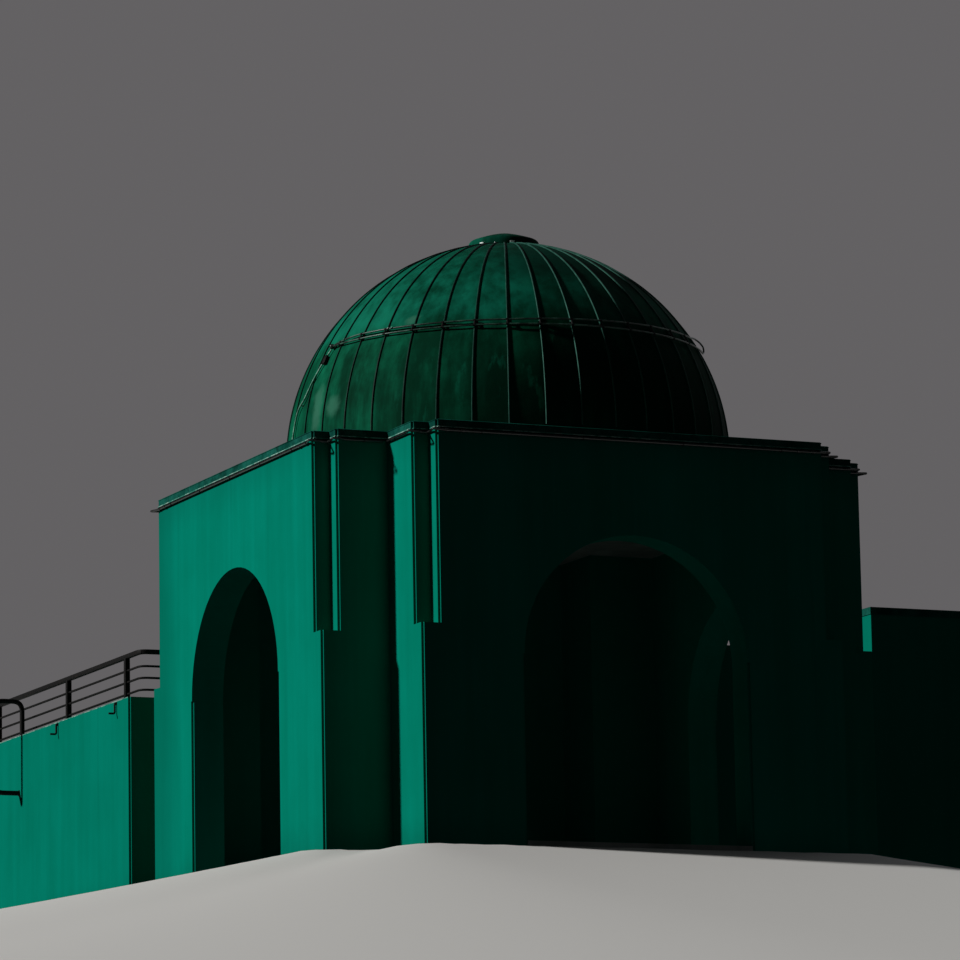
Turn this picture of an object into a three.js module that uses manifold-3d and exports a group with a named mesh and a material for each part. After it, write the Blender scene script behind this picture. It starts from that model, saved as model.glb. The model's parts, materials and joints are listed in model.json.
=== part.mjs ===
// Observatory dome on a cross-shaped pavilion, with a terrace wing and a flank wall.
// Millimetres, +Z up. The origin is on the dome's axis, at ground level.
// The four arms of the cross point west (-X), south (-Y), east (+X) and north (+Y).

import * as THREE from 'three';
import { mergeVertices } from 'three/addons/utils/BufferGeometryUtils.js';
import Module from 'manifold-3d';

const wasm = await Module();
wasm.setup();

// Pavilion: how far each arm reaches, and how far out the flanks on each side stand
const REACH = { west: 6700, south: 6850, east: 6450, north: 6780 };
const FLANKS = { west: 5130, south: 5130, east: 4810, north: 5130 };
const WALL = 750;
const WALL_TOP = 8800;
const LEDGE = 4670;
const NOTCH = 390;
const REBATE = 50;
const ARCH_RADIUS = 2630;
const ARCH_SPRING = 4100;
const FLOOR_TOP = 150;
const DECK_TOP = 8400;
const DECK_THICK = 220;
const WELL_HALF = 2300;
const COPING_TOP = 9000;

// Pipe under the coping, standing out in a pointed loop at each outer corner
const PIPE_RADIUS = 25;
const PIPE_OUT = 50;
const PIPE_Z = 8765;
const PIPE_TIP = 130;
const TIP_SPAN = 150;
const PEG_RADIUS = 16;
const PEG_PITCH = 2050;
const PEG_CLEAR = 1.2;

// Dome
const DOME_RADIUS = 5020;
const DOME_Z = 9417;
const SHELL = 50;
const GORES = 39;
const GORE = 360 / GORES;
const DOME_HEADING = -23.7;
const PANEL_EDGES = [0, 6, 13, 20, 26, 33, 39];
const PANEL_NAMES = ['front_right', 'right', 'back_right', 'back_left', 'left', 'front_left'];
const CROWN_LATITUDE = 86;
const MERIDIAN_STEPS = 12;
const CAP_FOOT = 810;
const CAP_BRIM = 745;
const CAP_BRIM_Z = 14565;
const CAP_RIM = 30;
const CAP_APEX = 14770;
const CAP_CURVE = 1.7;
const SKIRT_BOTTOM = 9010;
const BEAM_BOTTOM = 9300;
const CURB_OUTER = 4850;
const CURB_INNER = 4600;
const RUNNING_GAP = 8;

// Slit, its shutter and the shutter's frame, on the side away from the rail
const SLIT_HALF = 750;
const SLIT_TOP = 1060;
const SHUTTER_HALF = 870;
const SHUTTER_LIFT = 30;
const SHUTTER_THICK = 50;
const SHUTTER_BOTTOM = 9560;
const SHUTTER_END = 940;
const FRAME_WIDE = 90;
const FRAME_TALL = 110;

// Ring rail: two rods that meet in a knob at the left, and in a bow at the right.
// Places on the dome are a latitude and a bearing, in degrees, some with a lift off the shell.
const ROD_LIFT = 65;
const ROD_RADIUS = 20;
const ROD_LOWER = 27.4;
const ROD_UPPER = 28.9;
const ROD_RISE = 0.018;
const ROD_DIP = 12;
const ROD_FROM = -59.6;
const UPPER_TO = 71;
const LOWER_TO = 77;
const ROD_PITCH = 4.6;
const KNOB_RADIUS = 62;
const BOW_STEPS = 22;
const BOW = [[65, 30.16, 70], [76, 30.5, 72.5], [92, 30.6, 75.5], [124, 29.9, 78.3], [136, 28.9, 80.4],
  [106, 28.1, 81.5], [66, 27.5, 80.8], [62, 27.35, 78.6], [65, 27.4, 76]];

// Conduit from the rail's knob through a small box and down to the skirt
const CONDUIT_LIFT = 45;
const CONDUIT_RADIUS = 20;
const CONDUIT_ROUTE = [[26.6, -59.8], [23.6, -61.5], [18.5, -64.6], [14.4, -67.2], [11.1, -71.2],
  [4.4, -72.9], [1, -73.3]];
const CONDUIT_STEPS = 20;
const CLIP_LATITUDES = { seam: 18.5, flat: 12.7 };
const BOX = { across: [-156, -36], up: [-203, -3], deep: 80 };

// Terrace wing
const TERRACE = { west: -6700, east: -3100, south: 6780.3, north: 17450, wall: 450 };
const TERRACE_TOP = 4720;
const TERRACE_DECK = 200;
const RAILING_X = -6330;
const RAILING_Y = 6960;
const RAILING_BACK = -3300;
const RAILING_HEIGHT = 1092;
const RAILING_BARS = [200, 480, 755];
const RAILING_POSTS = [7920, 12070, 17370];
const RAILING_BEND = 220;
const POST_SIZE = 120;
const TOP_RAIL = 110;
const BAR = 42;

// Hoop rail that runs out over the terrace's edge, down, and back to the wall's face
const HOOP_Y = 14710;
const HOOP_X = -6620;
const HOOP_OUT = 750;
const HOOP_HEIGHT = 850;
const HOOP_FOOT = 3300;
const HOOP_BEND = 250;
const HOOP_RADIUS = 60;

// Flank wall, in line with the end of the north arm
const FLANK = { south: 6030, north: 6780, step: 12480, end: 15400 };
const FLANK_LOW = 6420;
const FLANK_TOP = 7350;
const FLANK_COPING = 7530;
const FLANK_LAP = 20;

const GAP = 0.3;

// Each arm is built facing -Y and turned to its side; left and right name its neighbours there
const ARMS = {
  west: { turn: -90, left: 'north', right: 'south' },
  south: { turn: 0, left: 'west', right: 'east' },
  east: { turn: 90, left: 'south', right: 'north' },
  north: { turn: 180, left: 'east', right: 'west' },
};

const COPPER = { color: 0x1f7a66, roughness: 0.62, metalness: 0.25 };
const PAINT = { color: 0x0fa08c, roughness: 0.85, metalness: 0.0 };
const PALE_PAINT = { color: 0x3fb39d, roughness: 0.8, metalness: 0.0 };
const DARK_METAL = { color: 0x23201f, roughness: 0.55, metalness: 0.5 };
const FLOORING = { color: 0x6f7f78, roughness: 0.9, metalness: 0.0 };

const radians = THREE.MathUtils.degToRad;

// A closed triangle mesh as a solid, turned the right way out
function solid(geometry) {
  const bare = geometry.index ? geometry.toNonIndexed() : geometry.clone();
  bare.deleteAttribute('normal');
  bare.deleteAttribute('uv');
  const merged = mergeVertices(bare, 1e-3);
  const index = [];
  const source = merged.index.array;
  for (let i = 0; i < source.length; i += 3) {
    const [a, b, c] = [source[i], source[i + 1], source[i + 2]];
    if (a !== b && b !== c && c !== a) index.push(a, b, c);
  }
  const points = merged.attributes.position.array;
  const triangles = signedVolume(points, index) < 0 ? index.reverse() : index;
  return new wasm.Manifold(new wasm.Mesh({
    numProp: 3,
    vertProperties: new Float32Array(points),
    triVerts: new Uint32Array(triangles),
  }));
}

function signedVolume(points, index) {
  const corner = (i) => new THREE.Vector3().fromArray(points, 3 * i);
  let sum = 0;
  for (let i = 0; i < index.length; i += 3) {
    const [a, b, c] = [corner(index[i]), corner(index[i + 1]), corner(index[i + 2])];
    sum += a.dot(b.cross(c));
  }
  return sum / 6;
}

function toGeometry(body) {
  const mesh = body.getMesh();
  const geometry = new THREE.BufferGeometry();
  geometry.setAttribute('position', new THREE.BufferAttribute(new Float32Array(mesh.vertProperties), 3));
  geometry.setIndex(new THREE.BufferAttribute(new Uint32Array(mesh.triVerts), 1));
  geometry.computeVertexNormals();
  return geometry;
}

const join = (bodies) => bodies.reduce((whole, body) => whole.add(body));
const cut = (body, cutters) => cutters.reduce((whole, cutter) => whole.subtract(cutter), body);

// Basic solids
function block([x0, x1], [y0, y1], [z0, z1]) {
  const box = new THREE.BoxGeometry(x1 - x0, y1 - y0, z1 - z0);
  return solid(box.translate((x0 + x1) / 2, (y0 + y1) / 2, (z0 + z1) / 2));
}

function prism(outline, [z0, z1]) {
  const shape = new THREE.Shape(outline.map(([x, y]) => new THREE.Vector2(x, y)));
  const geometry = new THREE.ExtrudeGeometry(shape, { depth: z1 - z0, bevelEnabled: false });
  return solid(geometry.translate(0, 0, z0));
}

function revolve(profile, segments) {
  const points = profile.map(([r, z]) => new THREE.Vector2(r, z));
  return solid(new THREE.LatheGeometry(points, segments).rotateX(Math.PI / 2));
}

// A straight round bar between two points
function bar(from, to, radius, sides = 6) {
  const length = from.distanceTo(to);
  const cylinder = new THREE.CylinderGeometry(radius, radius, length, sides).rotateX(Math.PI / 2);
  const turn = new THREE.Quaternion().setFromUnitVectors(
    new THREE.Vector3(0, 0, 1),
    to.clone().sub(from).normalize(),
  );
  const middle = from.clone().add(to).multiplyScalar(0.5);
  return solid(cylinder.applyQuaternion(turn).translate(middle.x, middle.y, middle.z));
}

function ball(centre, radius) {
  const sphere = new THREE.SphereGeometry(radius, 8, 6);
  return solid(sphere.translate(centre.x, centre.y, centre.z));
}

// Round bars from point to point, each run on a little so that they meet at the bends
function pipeRun(points, radius) {
  return join(points.slice(1).map((end, i) => {
    const start = points[i];
    const over = end.clone().sub(start).setLength(0.8 * radius);
    return bar(start.clone().sub(over), end.clone().add(over), radius);
  }));
}

function sweep(points, radius, steps) {
  const ring = new THREE.Shape();
  ring.absarc(0, 0, radius, 0, 2 * Math.PI);
  const path = new THREE.CatmullRomCurve3(points);
  return solid(new THREE.ExtrudeGeometry(ring, { steps, curveSegments: 6, extrudePath: path }));
}

const root = new THREE.Group();

function place(parent, name, body, finish) {
  const mesh = new THREE.Mesh(toGeometry(body), new THREE.MeshStandardMaterial(finish));
  mesh.name = name;
  parent.add(mesh);
}

// Sizes of one arm as it stands when it faces -Y
function armSizes(side) {
  const { left, right } = ARMS[side];
  return {
    side,
    end: -REACH[side],
    root: FLANKS[side],
    left: FLANKS[left],
    right: FLANKS[right],
    middle: (FLANKS[right] - FLANKS[left]) / 2,
  };
}

// Outline of an arm, from one re-entrant corner round its end to the other
function armOutline({ end, root, left, right }) {
  return [
    [-left, -root - GAP],
    [-left, end + NOTCH],
    [-left + NOTCH, end + NOTCH],
    [-left + NOTCH, end],
    [right - NOTCH, end],
    [right - NOTCH, end + NOTCH],
    [right, end + NOTCH],
    [right, -root - GAP],
  ];
}

function spanBlock(a, b, y, z) {
  return block([Math.min(a, b), Math.max(a, b)], y, z);
}

// A narrow square rebate down one upright edge
function rebate(x, y, heights) {
  return block([x - REBATE, x + REBATE], [y - REBATE, y + REBATE], heights);
}

function cornerRebates({ end, left, right }) {
  const above = [LEDGE - GAP, COPING_TOP + WALL];
  return [[-left, 1], [right, -1]].flatMap(([x, inward]) => [
    rebate(x, end, [-WALL, LEDGE]),
    rebate(x + inward * NOTCH, end, above),
    rebate(x, end + NOTCH, above),
  ]);
}

function archWall(parent, arm) {
  const { side, end, left, right, middle } = arm;
  const across = [end, end + WALL];
  const rebates = cornerRebates(arm);
  const archCut = solid(new THREE.CylinderGeometry(ARCH_RADIUS, ARCH_RADIUS, 3 * WALL, 64))
    .translate([middle, end, ARCH_SPRING]);
  for (const [name, sign, flank] of [['left', -1, -left], ['right', 1, right]]) {
    const jamb = middle + sign * ARCH_RADIUS;
    const pier = spanBlock(jamb, flank, across, [0, ARCH_SPRING - GAP]);
    const jambRebate = rebate(jamb, end, [-WALL, ARCH_SPRING]);
    place(parent, `${side}_pier_${name}`, cut(pier, [...rebates, jambRebate]), PAINT);
  }
  const notches = [[-left, 1], [right, -1]].map(([x, inward]) => {
    return spanBlock(x - inward * WALL, x + inward * NOTCH, [end - WALL, end + NOTCH], [LEDGE, COPING_TOP]);
  });
  const head = block([-left, right], across, [ARCH_SPRING, WALL_TOP]);
  place(parent, `${side}_arch_head`, cut(head, [archCut, ...notches, ...rebates]), PAINT);
}

// Coping of one arm, flush with the wall's face and mitred to the next arm
function armCoping(arm) {
  const { end, root, left, right } = arm;
  const back = [
    [right - WALL, -root + WALL - GAP],
    [right - WALL, end + WALL],
    [-left + WALL, end + WALL],
    [-left + WALL, -root + WALL - GAP],
  ];
  const course = prism([...armOutline(arm), ...back], [WALL_TOP + GAP, COPING_TOP]);
  return cut(course, cornerRebates(arm));
}

// Half of the pipe's route, from a re-entrant corner to the middle of the arm's end
function pipeHalf(flank, sign, { end, root }) {
  const x = (inset) => sign * (flank - inset);
  return [
    [x(-PIPE_OUT), -root - PIPE_OUT - 2.5 * PIPE_RADIUS],
    [x(-PIPE_OUT), end + NOTCH + TIP_SPAN],
    [x(-PIPE_TIP), end + NOTCH - PIPE_TIP],
    [x(TIP_SPAN), end + NOTCH - PIPE_OUT],
    [x(NOTCH - PIPE_OUT), end + NOTCH - PIPE_OUT],
    [x(NOTCH - PIPE_OUT), end + TIP_SPAN],
    [x(NOTCH - PIPE_TIP), end - PIPE_TIP],
    [x(NOTCH + TIP_SPAN), end - PIPE_OUT],
  ];
}

function armPipe(arm) {
  const { end, left, right, middle } = arm;
  const outline = [...pipeHalf(left, -1, arm), ...pipeHalf(right, 1, arm).reverse()];
  const route = outline.map(([x, y]) => new THREE.Vector3(x, y, PIPE_Z));
  const span = left + right - 2 * NOTCH - PEG_PITCH;
  const count = Math.round(span / PEG_PITCH);
  const pegs = [];
  for (let i = 0; i <= count; i += 1) {
    const x = middle - span / 2 + (i * span) / count;
    const outer = new THREE.Vector3(x, end - PIPE_OUT, PIPE_Z);
    pegs.push(bar(outer, new THREE.Vector3(x, end - GAP, PIPE_Z), PEG_RADIUS, 4));
  }
  return join([pipeRun(route, PIPE_RADIUS), ...pegs]);
}

// L-shaped wall at a re-entrant corner, between the ends of two arms
function cornerWall(xSide, ySide) {
  const xSign = xSide === 'west' ? -1 : 1;
  const ySign = ySide === 'south' ? -1 : 1;
  const [xFace, yFace] = [FLANKS[xSide], FLANKS[ySide]];
  const [xInner, yInner] = [xFace - WALL, yFace - WALL];
  const xEnd = REACH[xSide] - WALL - GAP;
  const yEnd = REACH[ySide] - WALL - GAP;
  const outline = [
    [xEnd, yFace], [xFace, yFace], [xFace, yEnd],
    [xInner, yEnd], [xInner, yInner], [xEnd, yInner],
  ];
  return prism(outline.map(([x, y]) => [xSign * x, ySign * y]), [0, WALL_TOP]);
}

// A slab that fills the cross inside the walls
function crossOutline(inset) {
  const within = (sizes) => Object.fromEntries(Object.entries(sizes).map(([k, v]) => [k, v - inset]));
  const [reach, flank] = [within(REACH), within(FLANKS)];
  return [
    [-flank.west, -reach.south], [flank.east, -reach.south], [flank.east, -flank.south],
    [reach.east, -flank.south], [reach.east, flank.north], [flank.east, flank.north],
    [flank.east, reach.north], [-flank.west, reach.north], [-flank.west, flank.north],
    [-reach.west, flank.north], [-reach.west, -flank.south], [-flank.west, -flank.south],
  ];
}

function floorSlab() {
  const inside = prism(crossOutline(WALL + GAP), [0, FLOOR_TOP]);
  const half = ARCH_RADIUS - GAP;
  const sills = Object.keys(ARMS).map((side) => {
    const { end, middle } = armSizes(side);
    const sill = block([middle - half, middle + half], [end, 0], [0, FLOOR_TOP]);
    return sill.rotate([0, 0, ARMS[side].turn]);
  });
  return join([inside, ...sills]);
}

function roofDeck() {
  const slab = prism(crossOutline(WALL + GAP), [DECK_TOP - DECK_THICK, DECK_TOP]);
  const well = block([-WELL_HALF, WELL_HALF], [-WELL_HALF, WELL_HALF], [0, COPING_TOP]);
  return cut(slab, [well]);
}

function ringProfile(inner, outer, bottom, top) {
  return [[inner, bottom], [outer, bottom], [outer, top], [inner, top], [inner, bottom]];
}

function buildPavilion() {
  for (const side of Object.keys(ARMS)) {
    const group = new THREE.Group();
    group.rotation.z = radians(ARMS[side].turn);
    const arm = armSizes(side);
    archWall(group, arm);
    place(group, `${side}_coping`, armCoping(arm), PALE_PAINT);
    place(group, `${side}_cornice_pipe`, armPipe(arm), DARK_METAL);
    root.add(group);
  }
  place(root, 'corner_wall_southwest', cornerWall('west', 'south'), PAINT);
  place(root, 'corner_wall_southeast', cornerWall('east', 'south'), PAINT);
  place(root, 'corner_wall_northeast', cornerWall('east', 'north'), PAINT);
  place(root, 'corner_wall_northwest', cornerWall('west', 'north'), PAINT);
  place(root, 'floor_slab', floorSlab(), FLOORING);
  place(root, 'roof_deck', roofDeck(), FLOORING);
  const curbTop = BEAM_BOTTOM - RUNNING_GAP;
  const curb = revolve(ringProfile(CURB_INNER, CURB_OUTER, DECK_TOP + GAP, curbTop), GORES);
  place(root, 'dome_curb', curb, PAINT);
}

// Points of a circle of latitude, or of a sphere's outline, about the dome's centre
function spherePoint(radius, latitude, bearing) {
  const flat = radius * Math.cos(radians(latitude));
  return new THREE.Vector3(
    flat * Math.sin(radians(bearing)),
    -flat * Math.cos(radians(bearing)),
    DOME_Z + radius * Math.sin(radians(latitude)),
  );
}

// Height of the shell's flats on a seam, measured from the dome's centre
function seamRadius(latitude) {
  const half = radians(CROWN_LATITUDE / MERIDIAN_STEPS / 2);
  const past = radians(latitude) % (2 * half);
  return (DOME_RADIUS * Math.cos(half)) / Math.cos(past - half);
}

// How far the flat of a gore lies below its seams
function goreDrop(latitude, bearing) {
  const off = radians(bearing - GORE * (Math.floor(bearing / GORE) + 0.5));
  const squeeze = Math.cos(radians(GORE / 2)) / Math.cos(off);
  return DOME_RADIUS * (1 - squeeze) * Math.cos(radians(latitude)) ** 2;
}

// A peg from the given radius in to the shell
function shellPeg(radius, latitude, bearing) {
  const seat = seamRadius(latitude) - goreDrop(latitude, bearing) + PEG_CLEAR;
  return bar(spherePoint(radius, latitude, bearing), spherePoint(seat, latitude, bearing), PEG_RADIUS, 4);
}

function meridian(radius, steps) {
  return Array.from({ length: steps + 1 }, (unused, i) => {
    const latitude = radians((CROWN_LATITUDE * i) / MERIDIAN_STEPS);
    return [radius * Math.cos(latitude), DOME_Z + radius * Math.sin(latitude)];
  });
}

// All shells share one set of latitudes, so that their flats lie parallel
function shellBetween(inner, outer, steps) {
  const outside = meridian(outer, steps);
  const inside = meridian(inner, steps).reverse();
  return revolve([...outside, ...inside, outside[0]], GORES);
}

// Upright wedge between two bearings, a hair inside them
function wedge(from, to) {
  const middle = (from + to) / 2;
  const tip = GAP / 2 / Math.sin(radians((to - from) / 2));
  const away = 3 * DOME_RADIUS;
  const spot = (distance, bearing) => [
    tip * Math.sin(radians(middle)) + distance * Math.sin(radians(bearing)),
    -tip * Math.cos(radians(middle)) - distance * Math.cos(radians(bearing)),
  ];
  return prism([spot(0, from), spot(away, from), spot(away, to)], [0, 2 * CAP_APEX]);
}

function buildShell(dome) {
  const shell = shellBetween(DOME_RADIUS - SHELL, DOME_RADIUS, MERIDIAN_STEPS);
  const slit = block([-SLIT_HALF, SLIT_HALF], [SLIT_TOP, 2 * DOME_RADIUS], [DOME_Z + 1, CAP_APEX]);
  PANEL_NAMES.forEach((name, i) => {
    const sector = wedge(PANEL_EDGES[i] * GORE, PANEL_EDGES[i + 1] * GORE);
    place(dome, `dome_panel_${name}`, cut(shell.intersect(sector), [slit]), COPPER);
  });
}

function buildShutter(dome) {
  const low = SHUTTER_BOTTOM;
  const inner = DOME_RADIUS + SHUTTER_LIFT;
  const leaf = shellBetween(inner, inner + SHUTTER_THICK, MERIDIAN_STEPS).intersect(
    block([-SHUTTER_HALF, SHUTTER_HALF], [SHUTTER_END, 2 * DOME_RADIUS], [low, CAP_APEX]),
  );
  place(dome, 'shutter', leaf, COPPER);
  const edge = SHUTTER_HALF + GAP;
  const hoop = shellBetween(DOME_RADIUS + GAP, DOME_RADIUS + FRAME_TALL, MERIDIAN_STEPS);
  const outside = [-edge - FRAME_WIDE, edge + FRAME_WIDE];
  const frame = cut(
    hoop.intersect(block(outside, [SHUTTER_END - FRAME_WIDE, 2 * DOME_RADIUS], [low - FRAME_WIDE, CAP_APEX])),
    [block([-edge, edge], [SHUTTER_END - GAP, 2 * DOME_RADIUS], [low - GAP, CAP_APEX])],
  );
  place(dome, 'shutter_frame', frame, COPPER);
}

// The upper rod rises a little to the right, and dips to the lower one at the knob
function upperLatitude(bearing) {
  const dip = Math.max(0, ROD_FROM + ROD_DIP - bearing) / ROD_DIP;
  return ROD_UPPER + ROD_RISE * Math.max(0, bearing) - (ROD_UPPER - ROD_LOWER) * dip ** 1.5;
}

const onRail = (latitude, bearing) => spherePoint(DOME_RADIUS + ROD_LIFT, latitude, bearing);

function railRod(latitudeAt, to) {
  const steps = Math.round((to - ROD_FROM) / ROD_PITCH);
  const points = Array.from({ length: steps + 1 }, (unused, i) => {
    const bearing = ROD_FROM + ((to - ROD_FROM) * i) / steps;
    return onRail(latitudeAt(bearing), bearing);
  });
  return sweep(points, ROD_RADIUS, steps);
}

// A strap across both rods, held off the seam by a peg
function railStrap(bearing) {
  const upper = upperLatitude(bearing);
  const strap = bar(onRail(ROD_LOWER, bearing), onRail(upper, bearing), PEG_RADIUS, 4);
  return strap.add(shellPeg(DOME_RADIUS + ROD_LIFT, (ROD_LOWER + upper) / 2, bearing));
}

function buildRail(dome) {
  const bow = BOW.map(([lift, latitude, bearing]) => spherePoint(DOME_RADIUS + lift, latitude, bearing));
  const pieces = [
    railRod(upperLatitude, UPPER_TO),
    railRod(() => ROD_LOWER, LOWER_TO),
    sweep(bow, ROD_RADIUS, BOW_STEPS),
    ball(onRail(ROD_LOWER, ROD_FROM), KNOB_RADIUS),
  ];
  for (let seam = Math.ceil(ROD_FROM / GORE); seam * GORE < UPPER_TO; seam += 1) {
    pieces.push(railStrap(seam * GORE));
  }
  place(dome, 'ring_rail', join(pieces), DARK_METAL);
}

// A box seated on one flat of the shell, beside the flat's upright middle line
function junctionBox() {
  const band = CROWN_LATITUDE / MERIDIAN_STEPS;
  const latitude = 3.5 * band;
  const [squeeze, tilt] = [Math.cos(radians(GORE / 2)), radians(latitude)];
  const level = squeeze / Math.hypot(Math.cos(tilt), squeeze * Math.sin(tilt));
  const seat = DOME_RADIUS * Math.cos(radians(band / 2)) * level + PEG_CLEAR;
  const body = block(BOX.across, [-seat - BOX.deep, -seat], BOX.up);
  return body.rotate([-latitude, 0, 0]).rotate([0, 0, -6.5 * GORE]).translate([0, 0, DOME_Z]);
}

function buildConduit(dome) {
  const radius = DOME_RADIUS + CONDUIT_LIFT;
  const path = CONDUIT_ROUTE.map(([latitude, bearing]) => spherePoint(radius, latitude, bearing));
  const clips = [
    shellPeg(radius, CLIP_LATITUDES.seam, -7 * GORE),
    shellPeg(radius, CLIP_LATITUDES.flat, -7.5 * GORE),
  ];
  const body = join([sweep(path, CONDUIT_RADIUS, CONDUIT_STEPS), ...clips, junctionBox()]);
  place(dome, 'dome_conduit', body, PALE_PAINT);
}

// Height of the shell's outside at a small distance from the axis, past the last ring of flats
function crownHeight(distance) {
  const [low, high] = meridian(DOME_RADIUS, MERIDIAN_STEPS).slice(-2);
  return high[1] + ((high[0] - distance) * (high[1] - low[1])) / (high[0] - low[0]);
}

// A shallow cone over a short flared skirt that sits on the crown
function buildCap(dome) {
  const crown = DOME_Z + DOME_RADIUS * Math.sin(radians(CROWN_LATITUDE)) + GAP;
  const opening = DOME_RADIUS * Math.cos(radians(CROWN_LATITUDE));
  const rise = CAP_APEX - CAP_BRIM_Z - CAP_RIM;
  const cone = [1, 0.75, 0.5, 0.25, 0].map((t) => [CAP_BRIM * t, CAP_APEX - rise * t ** CAP_CURVE]);
  const cap = revolve([
    [0, crown],
    [opening, crown],
    [CAP_FOOT, crownHeight(CAP_FOOT) + GAP],
    [CAP_BRIM, CAP_BRIM_Z],
    ...cone,
  ], GORES);
  place(dome, 'dome_cap', cap, COPPER);
}

function buildDome() {
  const dome = new THREE.Group();
  dome.rotation.z = radians(DOME_HEADING);
  const lipInner = DOME_RADIUS - 2 * SHELL;
  const skirt = revolve(ringProfile(lipInner, DOME_RADIUS, SKIRT_BOTTOM, DOME_Z - GAP), GORES);
  place(dome, 'dome_skirt', skirt, COPPER);
  const beam = revolve(ringProfile(CURB_INNER, lipInner - GAP, BEAM_BOTTOM, DOME_Z - GAP), GORES);
  place(dome, 'dome_ring_beam', beam, DARK_METAL);
  buildShell(dome);
  buildShutter(dome);
  buildCap(dome);
  buildRail(dome);
  buildConduit(dome);
  root.add(dome);
}

// A level route drawn out to a band of the given half width, mitred at its corners
function band(route, half) {
  const sides = route.slice(1).map((point, i) => {
    return point.clone().sub(route[i]).normalize().rotateAround(new THREE.Vector2(), Math.PI / 2);
  });
  const edge = (reach) => route.map((point, i) => {
    const [before, after] = [sides[Math.max(i - 1, 0)], sides[Math.min(i, sides.length - 1)]];
    const mitre = before.clone().add(after).divideScalar(1 + before.dot(after));
    return point.clone().addScaledVector(mitre, reach).toArray();
  });
  return [...edge(-half), ...edge(half).reverse()];
}

function buildRailing(name, route, posts) {
  const beam = (height, size) => {
    const middle = TERRACE_TOP + height;
    return prism(band(route, size / 2), [middle - size / 2, middle + size / 2]);
  };
  const uprights = posts.map(([x, y]) => block(
    [x - POST_SIZE / 2, x + POST_SIZE / 2],
    [y - POST_SIZE / 2, y + POST_SIZE / 2],
    [TERRACE_TOP + GAP, TERRACE_TOP + RAILING_HEIGHT],
  ));
  const bars = RAILING_BARS.map((height) => beam(height, BAR));
  place(root, name, join([beam(RAILING_HEIGHT, TOP_RAIL), ...bars, ...uprights]), DARK_METAL);
}

// Front and end railings, which meet half way round a short slanting corner
function buildRailings() {
  const at = (x, y) => new THREE.Vector2(RAILING_X + x, RAILING_Y + y);
  const [half, apart] = [RAILING_BEND / 2, GAP / 2];
  buildRailing(
    'terrace_railing_front',
    [at(half - apart, half + apart), at(0, RAILING_BEND), new THREE.Vector2(RAILING_X, TERRACE.north)],
    RAILING_POSTS.map((y) => [RAILING_X, y]),
  );
  buildRailing(
    'terrace_railing_end',
    [at(half + apart, half - apart), at(RAILING_BEND, 0), new THREE.Vector2(RAILING_BACK, RAILING_Y)],
    [[RAILING_BACK - POST_SIZE, RAILING_Y]],
  );
}

// Up from the deck, out over the edge, down, and back in to the wall's face
function hoopRail() {
  const point = (x, z) => new THREE.Vector3(x, HOOP_Y, z);
  const [top, out] = [TERRACE_TOP + HOOP_HEIGHT, HOOP_X - HOOP_OUT];
  const bend = 0.35 * HOOP_BEND;
  return pipeRun([
    point(HOOP_X, TERRACE_TOP + GAP + 0.8 * HOOP_RADIUS),
    point(HOOP_X, top - HOOP_BEND),
    point(HOOP_X - bend, top - bend),
    point(HOOP_X - HOOP_BEND, top),
    point(out + HOOP_BEND, top),
    point(out + bend, top - bend),
    point(out, top - HOOP_BEND),
    point(out, HOOP_FOOT + HOOP_BEND),
    point(out + bend, HOOP_FOOT + bend),
    point(out + HOOP_BEND, HOOP_FOOT),
    point(TERRACE.west - GAP - 0.8 * HOOP_RADIUS, HOOP_FOOT),
  ], HOOP_RADIUS);
}

function buildTerrace() {
  const { west, east, south, north, wall } = TERRACE;
  const height = [0, TERRACE_TOP];
  const cornerRebate = rebate(west, south, [-WALL, COPING_TOP]);
  const front = cut(block([west, west + wall], [south, north], height), [cornerRebate]);
  place(root, 'terrace_front_wall', front, PAINT);
  place(root, 'terrace_back_wall', block([east - wall, east], [south, north], height), PAINT);
  const between = [west + wall + GAP, east - wall - GAP];
  place(root, 'terrace_end_wall', block(between, [south, south + wall], height), PAINT);
  place(root, 'terrace_party_wall', block(between, [north - wall, north], height), PAINT);
  const along = [south + wall + GAP, north - wall - GAP];
  const deck = block(between, along, [TERRACE_TOP - TERRACE_DECK, TERRACE_TOP]);
  place(root, 'terrace_deck', deck, PALE_PAINT);
  buildRailings();
  place(root, 'terrace_hoop_rail', hoopRail(), DARK_METAL);
}

function buildFlankWall() {
  const { south, north, step, end } = FLANK;
  const start = FLANKS.east + GAP;
  const outline = [
    [start, 0], [end, 0], [end, FLANK_TOP],
    [step, FLANK_TOP], [step, FLANK_LOW], [start, FLANK_LOW],
  ];
  const wall = prism(outline, [0, north - south]).rotate([90, 0, 0]).translate([0, north, 0]);
  place(root, 'flank_wall', wall, PAINT);
  const coping = block(
    [step - FLANK_LAP, end],
    [south - FLANK_LAP, north + FLANK_LAP],
    [FLANK_TOP + GAP, FLANK_COPING],
  );
  place(root, 'flank_coping', coping, PALE_PAINT);
}

buildPavilion();
buildDome();
buildTerrace();
buildFlankWall();

export default root;
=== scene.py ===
import json
from math import acos, asin, ceil, cos, exp, floor, hypot, pi, radians, sin, sqrt, tan

import bmesh
import bpy
from mathutils import Matrix, Vector


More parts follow.
